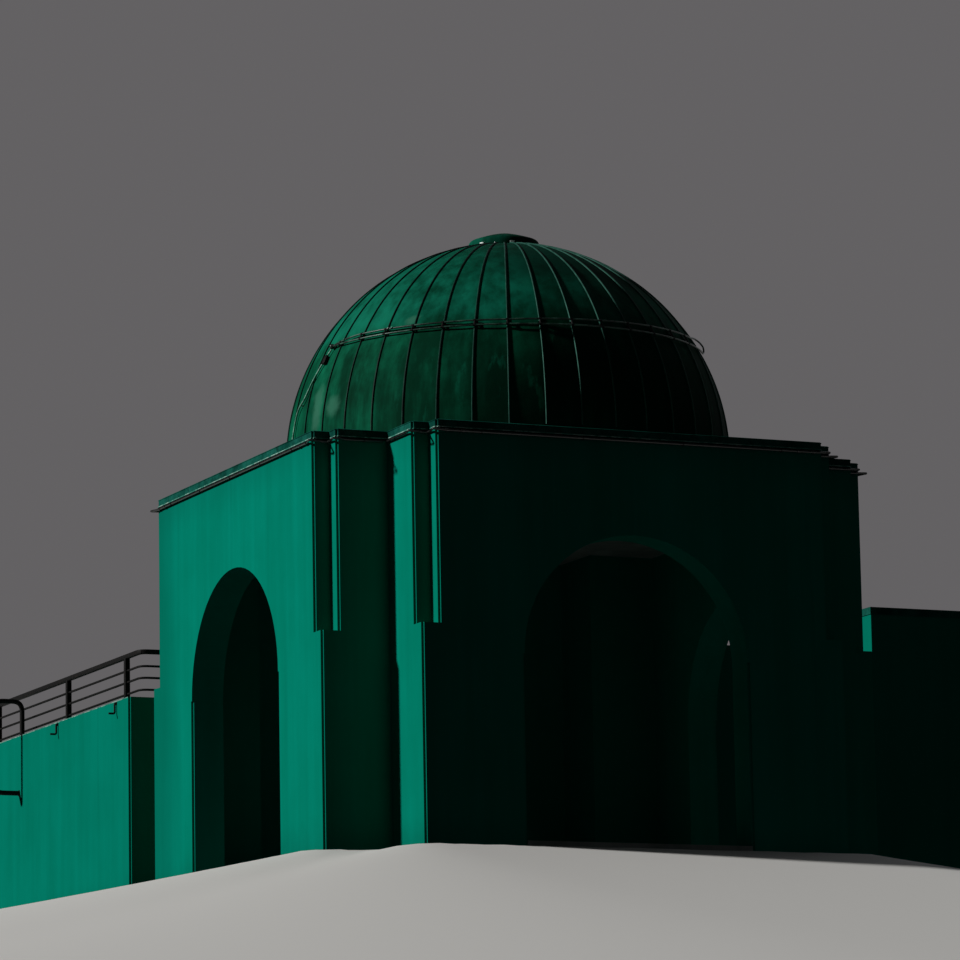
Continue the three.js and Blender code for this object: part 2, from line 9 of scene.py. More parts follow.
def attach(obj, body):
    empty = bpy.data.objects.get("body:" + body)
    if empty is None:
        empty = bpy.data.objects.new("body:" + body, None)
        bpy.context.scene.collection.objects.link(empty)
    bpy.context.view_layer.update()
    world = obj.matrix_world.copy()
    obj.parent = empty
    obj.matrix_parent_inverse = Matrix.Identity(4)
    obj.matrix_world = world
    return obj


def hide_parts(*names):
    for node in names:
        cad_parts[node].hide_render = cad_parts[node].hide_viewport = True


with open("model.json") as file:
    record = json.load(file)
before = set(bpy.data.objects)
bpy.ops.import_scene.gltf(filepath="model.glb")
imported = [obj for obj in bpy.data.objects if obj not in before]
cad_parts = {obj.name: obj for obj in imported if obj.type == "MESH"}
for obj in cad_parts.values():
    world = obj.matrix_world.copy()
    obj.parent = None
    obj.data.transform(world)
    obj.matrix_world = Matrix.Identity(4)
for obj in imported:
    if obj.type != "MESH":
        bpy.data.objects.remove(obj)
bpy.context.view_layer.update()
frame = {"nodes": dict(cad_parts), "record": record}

# Sizes are in metres and angles in degrees, the frame's own unless a comment says otherwise.
# Pavilion: its arms in turning order, how far each reaches, and how far out the walls beside it lie
SIDES = ["south", "east", "north", "west"]
REACH = {"west": 6.7, "south": 6.85, "east": 6.45, "north": 6.78}
FLANKS = {"west": 5.13, "south": 5.13, "east": 4.81, "north": 5.13}
WALL_TOP = 8.8
COPING_TOP = 9.0
NOTCH = 0.39
REBATE = 0.05

# Dome: a shell of gores, whose back panels leave a slit for the shutter
DOME_RADIUS = 5.02
DOME_Z = 9.417
SHELL = 0.05
GORES = 39
GORE = 360 / GORES
DOME_HEADING = -23.7
PANEL_EDGES = [0, 6, 13, 20, 26, 33, 39]
PANEL_NAMES = ["front_right", "right", "back_right", "back_left", "left", "front_left"]
PANEL_TRIM = 0.003
CROWN_LATITUDE = 86
SLIT_HALF = 0.75
SLIT_START = 1.06
SLIT_SILL = 0.001
SHUTTER_HALF = 0.87
SHUTTER_LOW = 9.56
SHUTTER_START = 0.94
FRAME_WIDE = 0.09
FRAME_TALL = 0.11
CAP_APEX = 14.77

# Terrace
TERRACE_TOP = 4.72
TERRACE_WEST = -6.7
TERRACE_SOUTH = 6.7803
TERRACE_NORTH = 17.45

# A hair between pieces that touch, and how deep a fitting's root lies in what carries it
GAP = 0.0003
ROOT = 0.004


class Graph:
    """A node material, built up by short calls."""

    def __init__(self, name):
        self.material = bpy.data.materials.new(name)
        self.material.use_nodes = True
        self.tree = self.material.node_tree
        self.shader = self.tree.nodes["Principled BSDF"]
        self.place = self.node("ShaderNodeTexCoord").outputs["Object"]

    def node(self, kind, inputs=(), **settings):
        node = self.tree.nodes.new(kind)
        for key, value in settings.items():
            setattr(node, key, value)
        for key, value in dict(inputs).items():
            self.feed(node.inputs[key], value)
        return node

    def feed(self, socket, value):
        if isinstance(value, bpy.types.NodeSocket):
            self.tree.links.new(value, socket)
        else:
            socket.default_value = value

    def math(self, operation, first, second=0.0):
        return self.node("ShaderNodeMath", {0: first, 1: second}, operation=operation).outputs[0]

    def plus(self, first, second):
        return self.math("ADD", first, second)

    def minus(self, first, second):
        return self.math("SUBTRACT", first, second)

    def times(self, first, second):
        return self.math("MULTIPLY", first, second)

    def vector(self, operation, first, second):
        inputs = {0: first, 1: second}
        return self.node("ShaderNodeVectorMath", inputs, operation=operation).outputs["Vector"]

    def axis(self, name):
        return self.node("ShaderNodeSeparateXYZ", {0: self.place}).outputs[name]

    def stretched(self, scale):
        return self.vector("MULTIPLY", self.place, scale)

    def noise(self, scale, detail=4.0, roughness=0.55, place=None):
        inputs = {"Vector": place or self.place, "Scale": scale, "Detail": detail, "Roughness": roughness}
        return self.node("ShaderNodeTexNoise", inputs).outputs["Fac"]

    def band(self, value, low, high):
        """Rises smoothly from zero at low to one at high."""
        inputs = {"Value": value, "From Min": low, "From Max": high}
        node = self.node("ShaderNodeMapRange", inputs, interpolation_type="SMOOTHSTEP")
        return node.outputs["Result"]

    def spot(self, centre, reach):
        """One inside an oval about a place, broken up at its edge, and zero away from it."""
        noise = {"Vector": self.place, "Scale": 5.0, "Detail": 6.0}
        ragged = self.node("ShaderNodeTexNoise", noise).outputs["Color"]
        shift = self.vector("SUBTRACT", ragged, (0.5, 0.5, 0.5))
        off = self.vector("SUBTRACT", self.place, centre)
        oval = self.vector("MULTIPLY", off, tuple(1 / size for size in reach))
        bent = self.vector("ADD", oval, shift)
        away = self.node("ShaderNodeVectorMath", {0: bent}, operation="LENGTH").outputs["Value"]
        return self.band(away, 1.25, 0.35)

    def mix(self, factor, first, second):
        inputs = {0: factor, 6: first, 7: second}
        return self.node("ShaderNodeMix", inputs, data_type="RGBA").outputs[2]

    def tint(self, color, mask, amount, shade):
        """The colour, moved by an amount towards a shade where the mask is one."""
        return self.mix(self.times(mask, amount), color, shade)

    def bump(self, height, distance, strength=1.0, normal=None):
        inputs = {"Height": height, "Distance": distance, "Strength": strength}
        if normal:
            inputs["Normal"] = normal
        return self.node("ShaderNodeBump", inputs).outputs["Normal"]

    def grain(self, noise, height):
        return self.bump(self.noise(*noise), height)

    def finish(self, color, roughness, metallic=0.0, normal=None, specular=0.12):
        inputs = {"Base Color": color, "Roughness": roughness, "Metallic": metallic}
        inputs["Specular IOR Level"] = specular
        if normal:
            inputs["Normal"] = normal
        for key, value in inputs.items():
            self.feed(self.shader.inputs[key], value)
        return self.material


def rgb(red, green, blue):
    return (red, green, blue, 1.0)


# Wall paint and its painted shade: where they change, by height and by distance to the north
DRIP_HEIGHTS = (3.0, 8.6)
COPING_SHADE_HEIGHTS = (7.9, 8.8)
DAMP_HEIGHTS = (1.3, 0.3)
NORTH_SHADE = (3.0, 4.6)
WING_LIGHT = (6.5, 6.8)


def wall_paint():
    graph = Graph("wall_paint")
    blotches = graph.noise(0.40, 6.0, 0.6)
    color = wall_stains_and_shade(graph, wall_green(graph, blotches), blotches)
    grain = graph.noise(26.0, 8.0, 0.7)
    trowel = graph.noise(3.0, 5.0, 0.6)
    relief = graph.bump(trowel, 0.008, 0.5, graph.bump(grain, 0.002))
    rough = graph.plus(0.80, graph.times(grain, 0.2))
    return graph.finish(color, rough, 0.0, relief, 0.0)


def wall_green(graph, blotches):
    """Green paint in faint upright streaks, with pale drips and dark runs."""
    streaks = graph.noise(1.0, 5.0, 0.6, graph.stretched((1.5, 1.5, 0.08)))
    tone = graph.plus(graph.times(streaks, 0.55), graph.times(blotches, 0.45))
    color = graph.mix(graph.band(tone, 0.32, 0.68), rgb(0.0006, 0.215, 0.142), rgb(0.0010, 0.270, 0.188))
    fine = graph.noise(1.0, 3.0, 0.6, graph.stretched((9.0, 9.0, 0.20)))
    drips = graph.times(graph.band(fine, 0.60, 0.74), graph.band(graph.axis("Z"), *DRIP_HEIGHTS))
    color = graph.tint(color, drips, 0.18, rgb(0.006, 0.360, 0.275))
    runs = graph.band(graph.noise(1.0, 4.0, 0.55, graph.stretched((3.4, 3.4, 0.12))), 0.58, 0.76)
    return graph.tint(color, runs, 0.17, rgb(0.001, 0.120, 0.082))


def wall_stains_and_shade(graph, color, blotches):
    """Painted shade, darker to the north and less so on the terrace wing, and under the coping; and darker
    at the foot.
    """
    north = graph.times(graph.band(graph.axis("Y"), *NORTH_SHADE), 0.50)
    wing = graph.times(graph.band(graph.axis("Y"), *WING_LIGHT), 0.28)
    color = graph.mix(graph.minus(north, wing), color, rgb(0.001, 0.120, 0.080))
    # Painted shade on the wall's top, under the coping and its pipe
    coping_shade = graph.band(graph.axis("Z"), *COPING_SHADE_HEIGHTS)
    color = graph.tint(color, coping_shade, 0.30, rgb(0.002, 0.120, 0.084))
    damp = graph.band(graph.plus(graph.axis("Z"), blotches), *DAMP_HEIGHTS)
    return graph.tint(color, damp, 0.45, rgb(0.002, 0.105, 0.072))


def coping_paint():
    graph = Graph("coping_paint")
    blotches = graph.noise(1.3, 7.0, 0.65)
    color = graph.mix(graph.band(blotches, 0.35, 0.65), rgb(0.002, 0.052, 0.038), rgb(0.010, 0.135, 0.100))
    dirt = graph.band(graph.noise(5.0, 6.0, 0.7), 0.50, 0.72)
    color = graph.tint(color, dirt, 0.7, rgb(0.003, 0.022, 0.016))
    return graph.finish(color, 0.82, 0.0, graph.grain((30.0, 8.0, 0.7), 0.004), 0.02)


# Patina and painted shade: where they change, by height and by distance from the axis along a level
# direction away from the key light
SHADE_WAY = (0.914, -0.406)
ABOVE_RAIL = (11.5, 12.2)
SHADE_HEIGHTS = (12.3, 10.0)
SHADE_EDGE = (-1.3, -0.4)
DEEP_SHADE_EDGE = (0.2, 1.2)
CROWN_HEIGHTS = (12.6, 13.4)
CROWN_EDGE = (-1.0, 0.6)

# Pale patches of worn patina on the dome: a place and its half sizes
PALE_PATCHES = [
    ((-4.85, -0.60, 10.50), (0.9, 0.24, 0.40)),
    ((-4.92, -0.62, 10.05), (0.9, 0.20, 0.34)),
    ((-4.79, -1.23, 10.27), (0.9, 0.26, 0.24)),
    ((-3.42, -2.58, 12.04), (0.5, 0.14, 0.12)),
]


def copper():
    graph = Graph("copper_patina")
    x, y, z = graph.axis("X"), graph.axis("Y"), graph.axis("Z")
    across = graph.plus(graph.times(x, SHADE_WAY[0]), graph.times(y, SHADE_WAY[1]))
    runs = graph.noise(1.0, 5.0, 0.6, graph.stretched((3.2, 3.2, 0.35)))
    blotches = graph.noise(0.9, 7.0, 0.62)
    above = graph.band(z, *ABOVE_RAIL)
    tone = patina_and_shade_tone(graph, graph.plus(graph.times(runs, 0.5), graph.times(blotches, 0.5)), across, above)
    tone = graph.plus(tone, graph.times(graph.minus(gore_number(graph, x, y), 0.5), 0.12))
    bright = graph.mix(above, rgb(0.0045, 0.172, 0.086), rgb(0.0055, 0.190, 0.116))
    color = graph.mix(graph.band(tone, 0.34, 0.76), rgb(0.0006, 0.034, 0.016), bright)
    # Painted shade: dark below the rail and over the crown, on the side away from the key light
    color = graph.mix(painted_dome_shade(graph, runs, across, z), color, rgb(0.0004, 0.012, 0.007))
    color = graph.mix(crown_shade(graph, across, z), pale_wear(graph, color), rgb(0.001, 0.016, 0.010))
    grain = graph.grain((45.0, 6.0, 0.7), 0.0015)
    relief = graph.bump(graph.noise(2.6, 3.0, 0.5), 0.020, 0.5, grain)
    rough = graph.plus(0.62, graph.times(blotches, 0.22))
    return graph.finish(color, rough, 0.0, relief, 0.015)


def gore_number(graph, x, y):
    """A random number of its own for each gore."""
    bearing = graph.minus(graph.math("ARCTAN2", y, x), radians(DOME_HEADING - 90))
    gore = graph.math("FLOOR", graph.math("DIVIDE", bearing, radians(GORE)))
    return graph.node("ShaderNodeTexWhiteNoise", {"W": gore}, noise_dimensions="1D").outputs["Value"]


def patina_and_shade_tone(graph, tone, across, above):
    """Brighter above the rail, and a little darker across towards the side away from the key light, a
    painted shade.
    """
    tone = graph.plus(tone, graph.times(across, -0.012))
    return graph.plus(tone, graph.minus(graph.times(above, 0.13), 0.055))


def painted_dome_shade(graph, runs, across, z):
    """Painted shade: dark below the rail except on the side towards the key light, and darker at every
    height on the side away from it, ragged along the runs.
    """
    ragged = graph.plus(across, graph.times(graph.minus(runs, 0.5), 1.6))
    low = graph.times(graph.band(ragged, *SHADE_EDGE), graph.band(z, *SHADE_HEIGHTS))
    shade_side = graph.times(graph.band(ragged, *DEEP_SHADE_EDGE), 0.40)
    return graph.math("MINIMUM", graph.plus(graph.times(low, 0.72), shade_side), 0.8)


def pale_wear(graph, color):
    worn = graph.band(graph.noise(1.0, 6.0, 0.65, graph.stretched((2.4, 2.4, 0.6))), 0.60, 0.72)
    color = graph.tint(color, worn, 0.35, rgb(0.006, 0.180, 0.100))
    for centre, reach in PALE_PATCHES:
        color = graph.tint(color, graph.spot(centre, reach), 0.60, rgb(0.050, 0.200, 0.130))
    return color


# Painted shade over the crown, deeper on the side away from the key light
def crown_shade(graph, across, z):
    shade_side = graph.plus(graph.times(graph.band(across, *CROWN_EDGE), 0.62), 0.16)
    return graph.times(graph.band(z, *CROWN_HEIGHTS), shade_side)


# Plain finishes. A grain is a fine noise and its height.
FINE_GRAIN = ((90.0, 5.0), 0.0006)
RUSTY_GRAIN = ((90.0, 5.0), 0.0008)
GRITTY_GRAIN = ((50.0, 5.0), 0.001)
COPPER_GRAIN = ((60.0, 4.0), 0.001)
CONCRETE_GRAIN = ((40.0, 8.0, 0.7), 0.003)


def worn(name, patches, edges, dark, pale, grain, rough, metallic=0.0, specular=0.12):
    """Two colours in patches, over a grain."""
    graph = Graph(name)
    color = graph.mix(graph.band(graph.noise(*patches), *edges), rgb(*dark), rgb(*pale))
    return graph.finish(color, rough, metallic, graph.grain(*grain), specular)


def dark_steel():
    graph = Graph("dark_metal")
    wear = graph.noise(9.0, 8.0, 0.7)
    color = graph.mix(graph.band(wear, 0.55, 0.75), rgb(0.006, 0.006, 0.006), rgb(0.030, 0.016, 0.010))
    rough = graph.plus(0.45, graph.times(wear, 0.3))
    return graph.finish(color, rough, 0.0, graph.grain(*RUSTY_GRAIN), 0.10)


FINISHES = {
    "wall_paint": wall_paint(),
    "coping_paint": coping_paint(),
    "floor_concrete": worn(
        "floor_concrete", (0.8, 7.0, 0.6), (0.3, 0.7),
        (0.16, 0.19, 0.175), (0.30, 0.33, 0.31), CONCRETE_GRAIN, 0.86,
    ),
    "copper_patina": copper(),
    "dark_metal": dark_steel(),
    "pale_metal": worn(
        "pale_metal", (12.0, 8.0, 0.7), (0.40, 0.65),
        (0.060, 0.230, 0.160), (0.240, 0.480, 0.380), RUSTY_GRAIN, 0.55, 0.2,
    ),
}
# Seam finishes: dark copper that is painted shade, and pale copper that is a painted highlight
SEAM_SHADE_COPPER = worn(
    "seam_painted_shade", (4.0, 6.0, 0.6), (0.35, 0.7),
    (0.0012, 0.010, 0.008), (0.003, 0.045, 0.030), COPPER_GRAIN, 0.6, 0.2,
)
SEAM_HIGHLIGHT_COPPER = worn(
    "seam_painted_highlight", (6.0, 6.0, 0.6), (0.35, 0.7),
    (0.010, 0.070, 0.050), (0.030, 0.120, 0.090), COPPER_GRAIN, 0.55, 0.2,
)
# Whitish finish: a painted highlight on the coping's fillet, and a pale chalky finish on the rail bolts and
# the terrace edge's bare mortar
CHALK_AND_HIGHLIGHT = worn(
    "chalk_and_painted_highlight", (5.0, 7.0, 0.7), (0.42, 0.62),
    (0.030, 0.230, 0.170), (0.360, 0.560, 0.480), GRITTY_GRAIN, 0.8,
)
BRIGHT = worn(
    "bright_metal", (14.0, 6.0, 0.7), (0.40, 0.65),
    (0.45, 0.55, 0.52), (0.80, 0.86, 0.84), FINE_GRAIN, 0.4, specular=0.5,
)
# Dark tube, worn smooth, that catches a thin highlight along its top
GLOSS = worn(
    "gloss_metal", (7.0, 7.0, 0.7), (0.50, 0.75),
    (0.006, 0.007, 0.007), (0.045, 0.060, 0.050), FINE_GRAIN, 0.30, specular=0.60,
)
# Near black for the strip in the gap over the coping's pipe, a painted shade
GAP_SHADE = worn(
    "gap_painted_shade", (6.0, 6.0, 0.7), (0.45, 0.75),
    (0.003, 0.006, 0.005), (0.012, 0.050, 0.038), GRITTY_GRAIN, 0.9, specular=0.03,
)
# Rods with the dome's green on them, and a highlight along the top
RAIL = worn(
    "rail_metal", (3.0, 7.0, 0.7), (0.40, 0.62),
    (0.004, 0.018, 0.012), (0.050, 0.140, 0.100), FINE_GRAIN, 0.35, specular=0.32,
)

for row in frame["record"]["subparts"]:
    node = frame["nodes"][row["node"]]
    node.data.materials.clear()
    node.data.materials.append(FINISHES[row["material_slot"]])


# Shape tools
def turned(point, quarters):
    x, y, z = point
    for _ in range(quarters):
        x, y = -y, x
    return Vector((x, y, z))


def circle(radius, sides):
    """Points of a circle about the origin."""
    turns = [2 * pi * k / sides for k in range(sides)]
    return [(radius * cos(t), radius * sin(t)) for t in turns]


def on_dome(radius, latitude, bearing):
    """A place about the dome's centre; bearing 0 is the side away from the shutter."""
    flat = radius * cos(radians(latitude))
    heading = radians(bearing + DOME_HEADING)
    height = DOME_Z + radius * sin(radians(latitude))
    return Vector((flat * sin(heading), -flat * cos(heading), height))


def off_shell(lift, latitude, bearing):
    return on_dome(DOME_RADIUS + lift, latitude, bearing)


def rounded(points, bend, steps=5):
    """The same route with each corner drawn round."""
    route = [points[0]]
    for before, corner, after in zip(points, points[1:], points[2:]):
        reach = min(bend, 0.45 * (corner - before).length, 0.45 * (after - corner).length)
        start = corner + (before - corner).normalized() * reach
        end = corner + (after - corner).normalized() * reach
        for i in range(steps + 1):
            t = i / steps
            route.append(start * (1 - t) ** 2 + corner * (2 * t * (1 - t)) + end * t ** 2)
    return route + [points[-1]]


def smooth_route(points, steps=8):
    """A curve through the points."""
    padded = [points[0] * 2 - points[1]] + points + [points[-1] * 2 - points[-2]]
    route = []
    for a, b, c, d in zip(padded, padded[1:], padded[2:], padded[3:]):
        for i in range(steps):
            t = i / steps
            bent = (b * 2 + (c - a) * t + (a * 2 - b * 5 + c * 4 - d) * t ** 2
                    + (b * 3 - a - c * 3 + d) * t ** 3)
            route.append(bent / 2)
    return route + [points[-1]]


def add_object(name, data):
    thing = bpy.data.objects.new(name, data)
    bpy.context.scene.collection.objects.link(thing)
    return thing


class Piece:
    """One mesh, built up of simple closed forms and then placed on a body of the frame."""

    def __init__(self):
        self.mesh = bmesh.new()

    def grid(self, rows, wrap=False, finish=None):
        """Faces between rows of points; each row is a closed ring, and wrap also closes the rows."""
        corners = [[self.mesh.verts.new(p) for p in row] for row in rows]
        nexts = corners[1:] + corners[:1] if wrap else corners[1:]
        for first, second in zip(corners, nexts):
            for i in range(len(first)):
                k = (i + 1) % len(first)
                face = self.mesh.faces.new((first[i], first[k], second[k], second[i]))
                face.material_index = finish[i] if finish else 0
        if not wrap:
            self.mesh.faces.new(corners[0][::-1])
            self.mesh.faces.new(corners[-1])

    def tube(self, route, radius, sides=12):
        """A round bar; its radius is a number, or a function of the share of the way."""
        rows = []
        side = None
        for i, spot in enumerate(route):
            ahead = (route[min(i + 1, len(route) - 1)] - route[max(i - 1, 0)]).normalized()
            if side is None:
                side = ahead.orthogonal().normalized()
            side = (side - ahead * side.dot(ahead)).normalized()
            up = ahead.cross(side)
            size = radius(i / (len(route) - 1)) if callable(radius) else radius
            rows.append([spot + (side * a + up * b) * size for a, b in circle(1.0, sides)])
        self.grid(rows)

    def lathe(self, profile, segments, start=0.0):
        """A section of (radius, height) points turned about the dome's axis."""
        rows = []
        for k in range(segments):
            angle = start + 2 * pi * k / segments
            flat = Vector((sin(angle), -cos(angle), 0))
            rows.append([flat * radius + Vector((0, 0, z)) for radius, z in profile])
        self.grid(rows, wrap=True)

    def moulding(self, route, profile, closed=False):
        """A section of (outward, height) points run along a level route, mitred at its corners."""
        rows = []
        for i, spot in enumerate(route):
            ways = []
            if closed or i:
                ways.append((spot - route[i - 1]).normalized())
            if closed or i + 1 < len(route):
                ways.append((route[(i + 1) % len(route)] - spot).normalized())
            sides = [Vector((way.y, -way.x, 0)) for way in ways]
            out = sum(sides, Vector()) / (1 + sides[0].dot(sides[-1])) if len(sides) == 2 else sides[0]
            rows.append([Vector((spot.x, spot.y, 0)) + out * o + Vector((0, 0, z)) for o, z in profile])
        self.grid(rows, wrap=closed)

    def box(self, low, high, turn=Matrix(), bevel=0.0):
        made = bmesh.ops.create_cube(self.mesh, size=1.0)["verts"]
        low, high = Vector(low), Vector(high)
        middle, size = (low + high) / 2, high - low
        for corner in made:
            corner.co = turn @ Vector([middle[i] + corner.co[i] * size[i] for i in range(3)])
        if bevel:
            self.mesh.normal_update()
            edges = list(dict.fromkeys(edge for corner in made for edge in corner.link_edges))
            bmesh.ops.bevel(self.mesh, geom=edges, offset=bevel, segments=2, affect="EDGES", profile=0.5)

    def to_data(self, name):
        data = bpy.data.meshes.new(name)
        self.mesh.to_mesh(data)
        self.mesh.free()
        return data

    def place(self, name, body, slot, replaces=(), crease=40, finishes=None):
        bmesh.ops.recalc_face_normals(self.mesh, faces=self.mesh.faces)
        data = self.to_data(name)
        data.shade_smooth()
        data.set_sharp_from_angle(angle=radians(crease))
        for finish in finishes or [FINISHES[slot]]:
            data.materials.append(finish)
        thing = add_object(name, data)
        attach(thing, body)
        if replaces:
            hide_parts(*replaces)
        return thing


# Panels: gores between standing seams. Flatness 0 leaves a gore round and 1 makes it flat.
GORE_FLATNESS = 0.75


def gore_squeeze(bearing):
    """How much nearer the axis a gore's face lies than its seams."""
    half = radians(GORE / 2)
    off = radians((bearing % GORE) - GORE / 2)
    return 1 - GORE_FLATNESS * (1 - cos(half) / cos(off))


def gore_point(radius, latitude, bearing):
    """Only the level reach of a gore is flattened, so its upright outline stays round."""
    spot = on_dome(radius, latitude, bearing)
    squeeze = gore_squeeze(bearing)
    return Vector((spot.x * squeeze, spot.y * squeeze, spot.z))


def panel_shell(first, last, across=6, up=44):
    """Closed shell of the gores from one seam number to another, a hair short of both."""
    low, high = GORE * first + PANEL_TRIM, GORE * last - PANEL_TRIM
    latitudes = [CROWN_LATITUDE * i / up for i in range(up + 1)]
    rows = []
    for k in range((last - first) * across + 1):
        bearing = min(max(GORE * (first + k / across), low), high)
        outer = [gore_point(DOME_RADIUS, latitude, bearing) for latitude in latitudes]
        inner = [gore_point(DOME_RADIUS - SHELL, latitude, bearing) for latitude in reversed(latitudes)]
        rows.append(outer + inner)
    return rows


def cut_slit(panel):
    """Takes the slit out of a back panel."""
    cutter = Piece()
    swing = Matrix.Rotation(radians(DOME_HEADING), 4, "Z")
    low = (-SLIT_HALF, SLIT_START, DOME_Z + SLIT_SILL)
    cutter.box(low, (SLIT_HALF, 2 * DOME_RADIUS, CAP_APEX), swing)
    block = add_object("slit", cutter.to_data("slit"))
    change = panel.modifiers.new("slit", "BOOLEAN")
    change.operation = "DIFFERENCE"
    change.object = block
    bpy.context.view_layer.update()
    shaped = panel.evaluated_get(bpy.context.evaluated_depsgraph_get())
    data = bpy.data.meshes.new_from_object(shaped)
    panel.modifiers.clear()
    panel.data = data
    bpy.data.objects.remove(block)


def build_panels():
    for name, first, last in zip(PANEL_NAMES, PANEL_EDGES, PANEL_EDGES[1:]):
        piece = Piece()
        piece.grid(panel_shell(first, last))
        panel = piece.place(f"gores_{name}", "dome", "copper_patina", [f"dome_panel_{name}"], crease=20)
        if "back" in name:
            cut_slit(panel)


# Standing seams: a section in half widths and heights, and the finish of each of its faces, a painted
# highlight on the two left faces and dark painted shade on the rest
SEAM_WIDTH = 0.034
SEAM_HEIGHT = 0.026
SEAM_SECTION = [(-1, 0.55), (-0.45, 1), (0.6, 1), (1, 0.6)]
SEAM_FINISHES = [1, 1, 0, 0, 0, 0]
SEAM_FOOT = 0.2
SEAM_TOP = 80.4
SEAM_STEPS = 60
SEAM_SIDE_GAP = 0.03
SEAM_HEAD_GAP = 0.15


def under_shutter(spot):
    """True where the shutter or its frame covers the shell."""
    heading = radians(DOME_HEADING)
    across = spot.x * cos(heading) + spot.y * sin(heading)
    back = spot.y * cos(heading) - spot.x * sin(heading)
    beside = abs(across) < SHUTTER_HALF + FRAME_WIDE + SEAM_SIDE_GAP
    return beside and back > SHUTTER_START - SEAM_HEAD_GAP


def seam_narrowing(latitude):
    """Seams are narrower where they crowd together near the crown."""
    return min(1.0, 3.2 * cos(radians(latitude)) + 0.25)


def seam_rows(bearing):
    half, tall = SEAM_WIDTH / 2, SEAM_HEIGHT
    section = [(a * half, b * tall) for a, b in SEAM_SECTION]
    section = [(-half, -ROOT)] + section + [(half, -ROOT)]
    heading = radians(bearing + DOME_HEADING)
    right = Vector((cos(heading), sin(heading), 0))
    rows = []
    for i in range(SEAM_STEPS + 1):
        latitude = SEAM_FOOT + (SEAM_TOP - SEAM_FOOT) * i / SEAM_STEPS
        centre = off_shell(0, latitude, bearing)
        if under_shutter(centre):
            break
        out = (centre - Vector((0, 0, DOME_Z))).normalized()
        narrow = seam_narrowing(latitude)
        rows.append([centre + right * (a * narrow) + out * b for a, b in section])
    return rows


def build_seams():
    """A fold on each seam, painted dark as shade, with a paler left edge that is a painted highlight."""
    piece = Piece()
    for k in range(GORES):
        rows = seam_rows(GORE * k)
        if len(rows) > 2:
            piece.grid(rows, finish=SEAM_FINISHES)
    piece.place("standing_seams", "dome", "copper_patina", crease=35, finishes=[SEAM_SHADE_COPPER, SEAM_HIGHLIGHT_COPPER])


# Skirt under the shell: a bead at its foot, and a drip edge out from the shell's radius at its head
SKIRT_BOTTOM = 9.01
BEAD = 0.012
DRIP_EDGE = [(-BEAD, -0.060), (0.004, -0.052), (0.006, -0.020), (-0.004, -GAP)]


def build_skirt():
    inner = DOME_RADIUS - 2 * SHELL
    turns = [radians(angle) for angle in range(0, 181, 30)]
    foot = [
        (DOME_RADIUS - BEAD + BEAD * sin(t), SKIRT_BOTTOM + BEAD - BEAD * cos(t))
        for t in turns
    ]
    head = [(DOME_RADIUS + out, DOME_Z + up) for out, up in DRIP_EDGE]
    piece = Piece()
    profile = [(inner, SKIRT_BOTTOM)] + foot + head + [(inner, DOME_Z - GAP)]
    piece.lathe(profile, 4 * GORES, start=radians(DOME_HEADING))
    piece.place("skirt", "dome", "copper_patina", ["dome_skirt"], crease=30)


# Cap, which sits on the crown: a low cone on a rounded shoulder, a little rounder than the frame's
CAP_FOOT = 0.81
CAP_FOOT_Z = 14.364
CAP_SHOULDER = [(0.812, 14.43), (0.810, 14.49), (0.798, 14.530), (0.780, 14.555)]
CAP_BRIM = 0.755
CAP_BRIM_Z = 14.573
CAP_CURVE = 1.4
CAP_STEPS = 14
CAP_SIDES = 96
CAP_MIDDLE = 0.001

# Clips at the cap's foot, each a plate and a tongue given by two corners, and a bolt beside the cap
CLIP_COUNT = 7
FIRST_CLIP = -61.7
CLIP_PLATE = ((-0.055, -0.835, 14.385), (0.055, -0.812, 14.440))
CLIP_TONGUE = ((-0.030, -0.880, 14.375), (0.030, -0.812, 14.390))
CAP_BOLT = (78.6, -12.0)
CAP_BOLT_TALL = 0.040
CAP_BOLT_RADIUS = 0.018


def build_cap():
    crown = DOME_Z + DOME_RADIUS * sin(radians(CROWN_LATITUDE)) + GAP
    opening = DOME_RADIUS * cos(radians(CROWN_LATITUDE))
    rise = CAP_APEX - CAP_BRIM_Z
    shares = [1 - i / CAP_STEPS for i in range(CAP_STEPS)]
    cone = [(CAP_BRIM * t, CAP_APEX - rise * t ** CAP_CURVE) for t in shares]
    under = [(CAP_MIDDLE, crown), (opening, crown), (CAP_FOOT, CAP_FOOT_Z)]
    piece = Piece()
    piece.lathe(under + CAP_SHOULDER + cone + [(CAP_MIDDLE, CAP_APEX)], CAP_SIDES)
    piece.place("cap", "dome", "copper_patina", ["dome_cap"], crease=50)


def build_cap_clips():
    clips = Piece()
    for k in range(CLIP_COUNT):
        swing = Matrix.Rotation(radians(FIRST_CLIP + 360 * k / CLIP_COUNT), 4, "Z")
        clips.box(*CLIP_PLATE, swing, 0.006)
        clips.box(*CLIP_TONGUE, swing, 0.004)
    seat = off_shell(0, *CAP_BOLT)
    clips.tube([seat, seat + Vector((0, 0, CAP_BOLT_TALL))], CAP_BOLT_RADIUS, 8)
    clips.place("cap_clips", "dome", "pale_metal", finishes=[BRIGHT])


# Shutter: a leaf curved both ways, stiffened by battens, in a raised frame
SHUTTER_INNER = DOME_RADIUS + 0.03
SHUTTER_OUTER = DOME_RADIUS + 0.08
BATTENS = [-0.52, 0.0, 0.52]
BATTEN_HALF = 0.014
BATTEN_TALL = 0.022
BATTEN_ROOT = 0.002
BATTEN_INSET = 0.03


def strip_point(flat, x, back):
    """A place on a circle of radius flat, x across the slit, at an angle up and over from the back."""
    y, z = flat * cos(back), flat * sin(back)
    heading = radians(DOME_HEADING)
    east = x * cos(heading) - y * sin(heading)
    north = x * sin(heading) + y * cos(heading)
    return Vector((east, north, DOME_Z + z))


def from_height(height):
    return lambda flat: asin((height - DOME_Z) / flat)


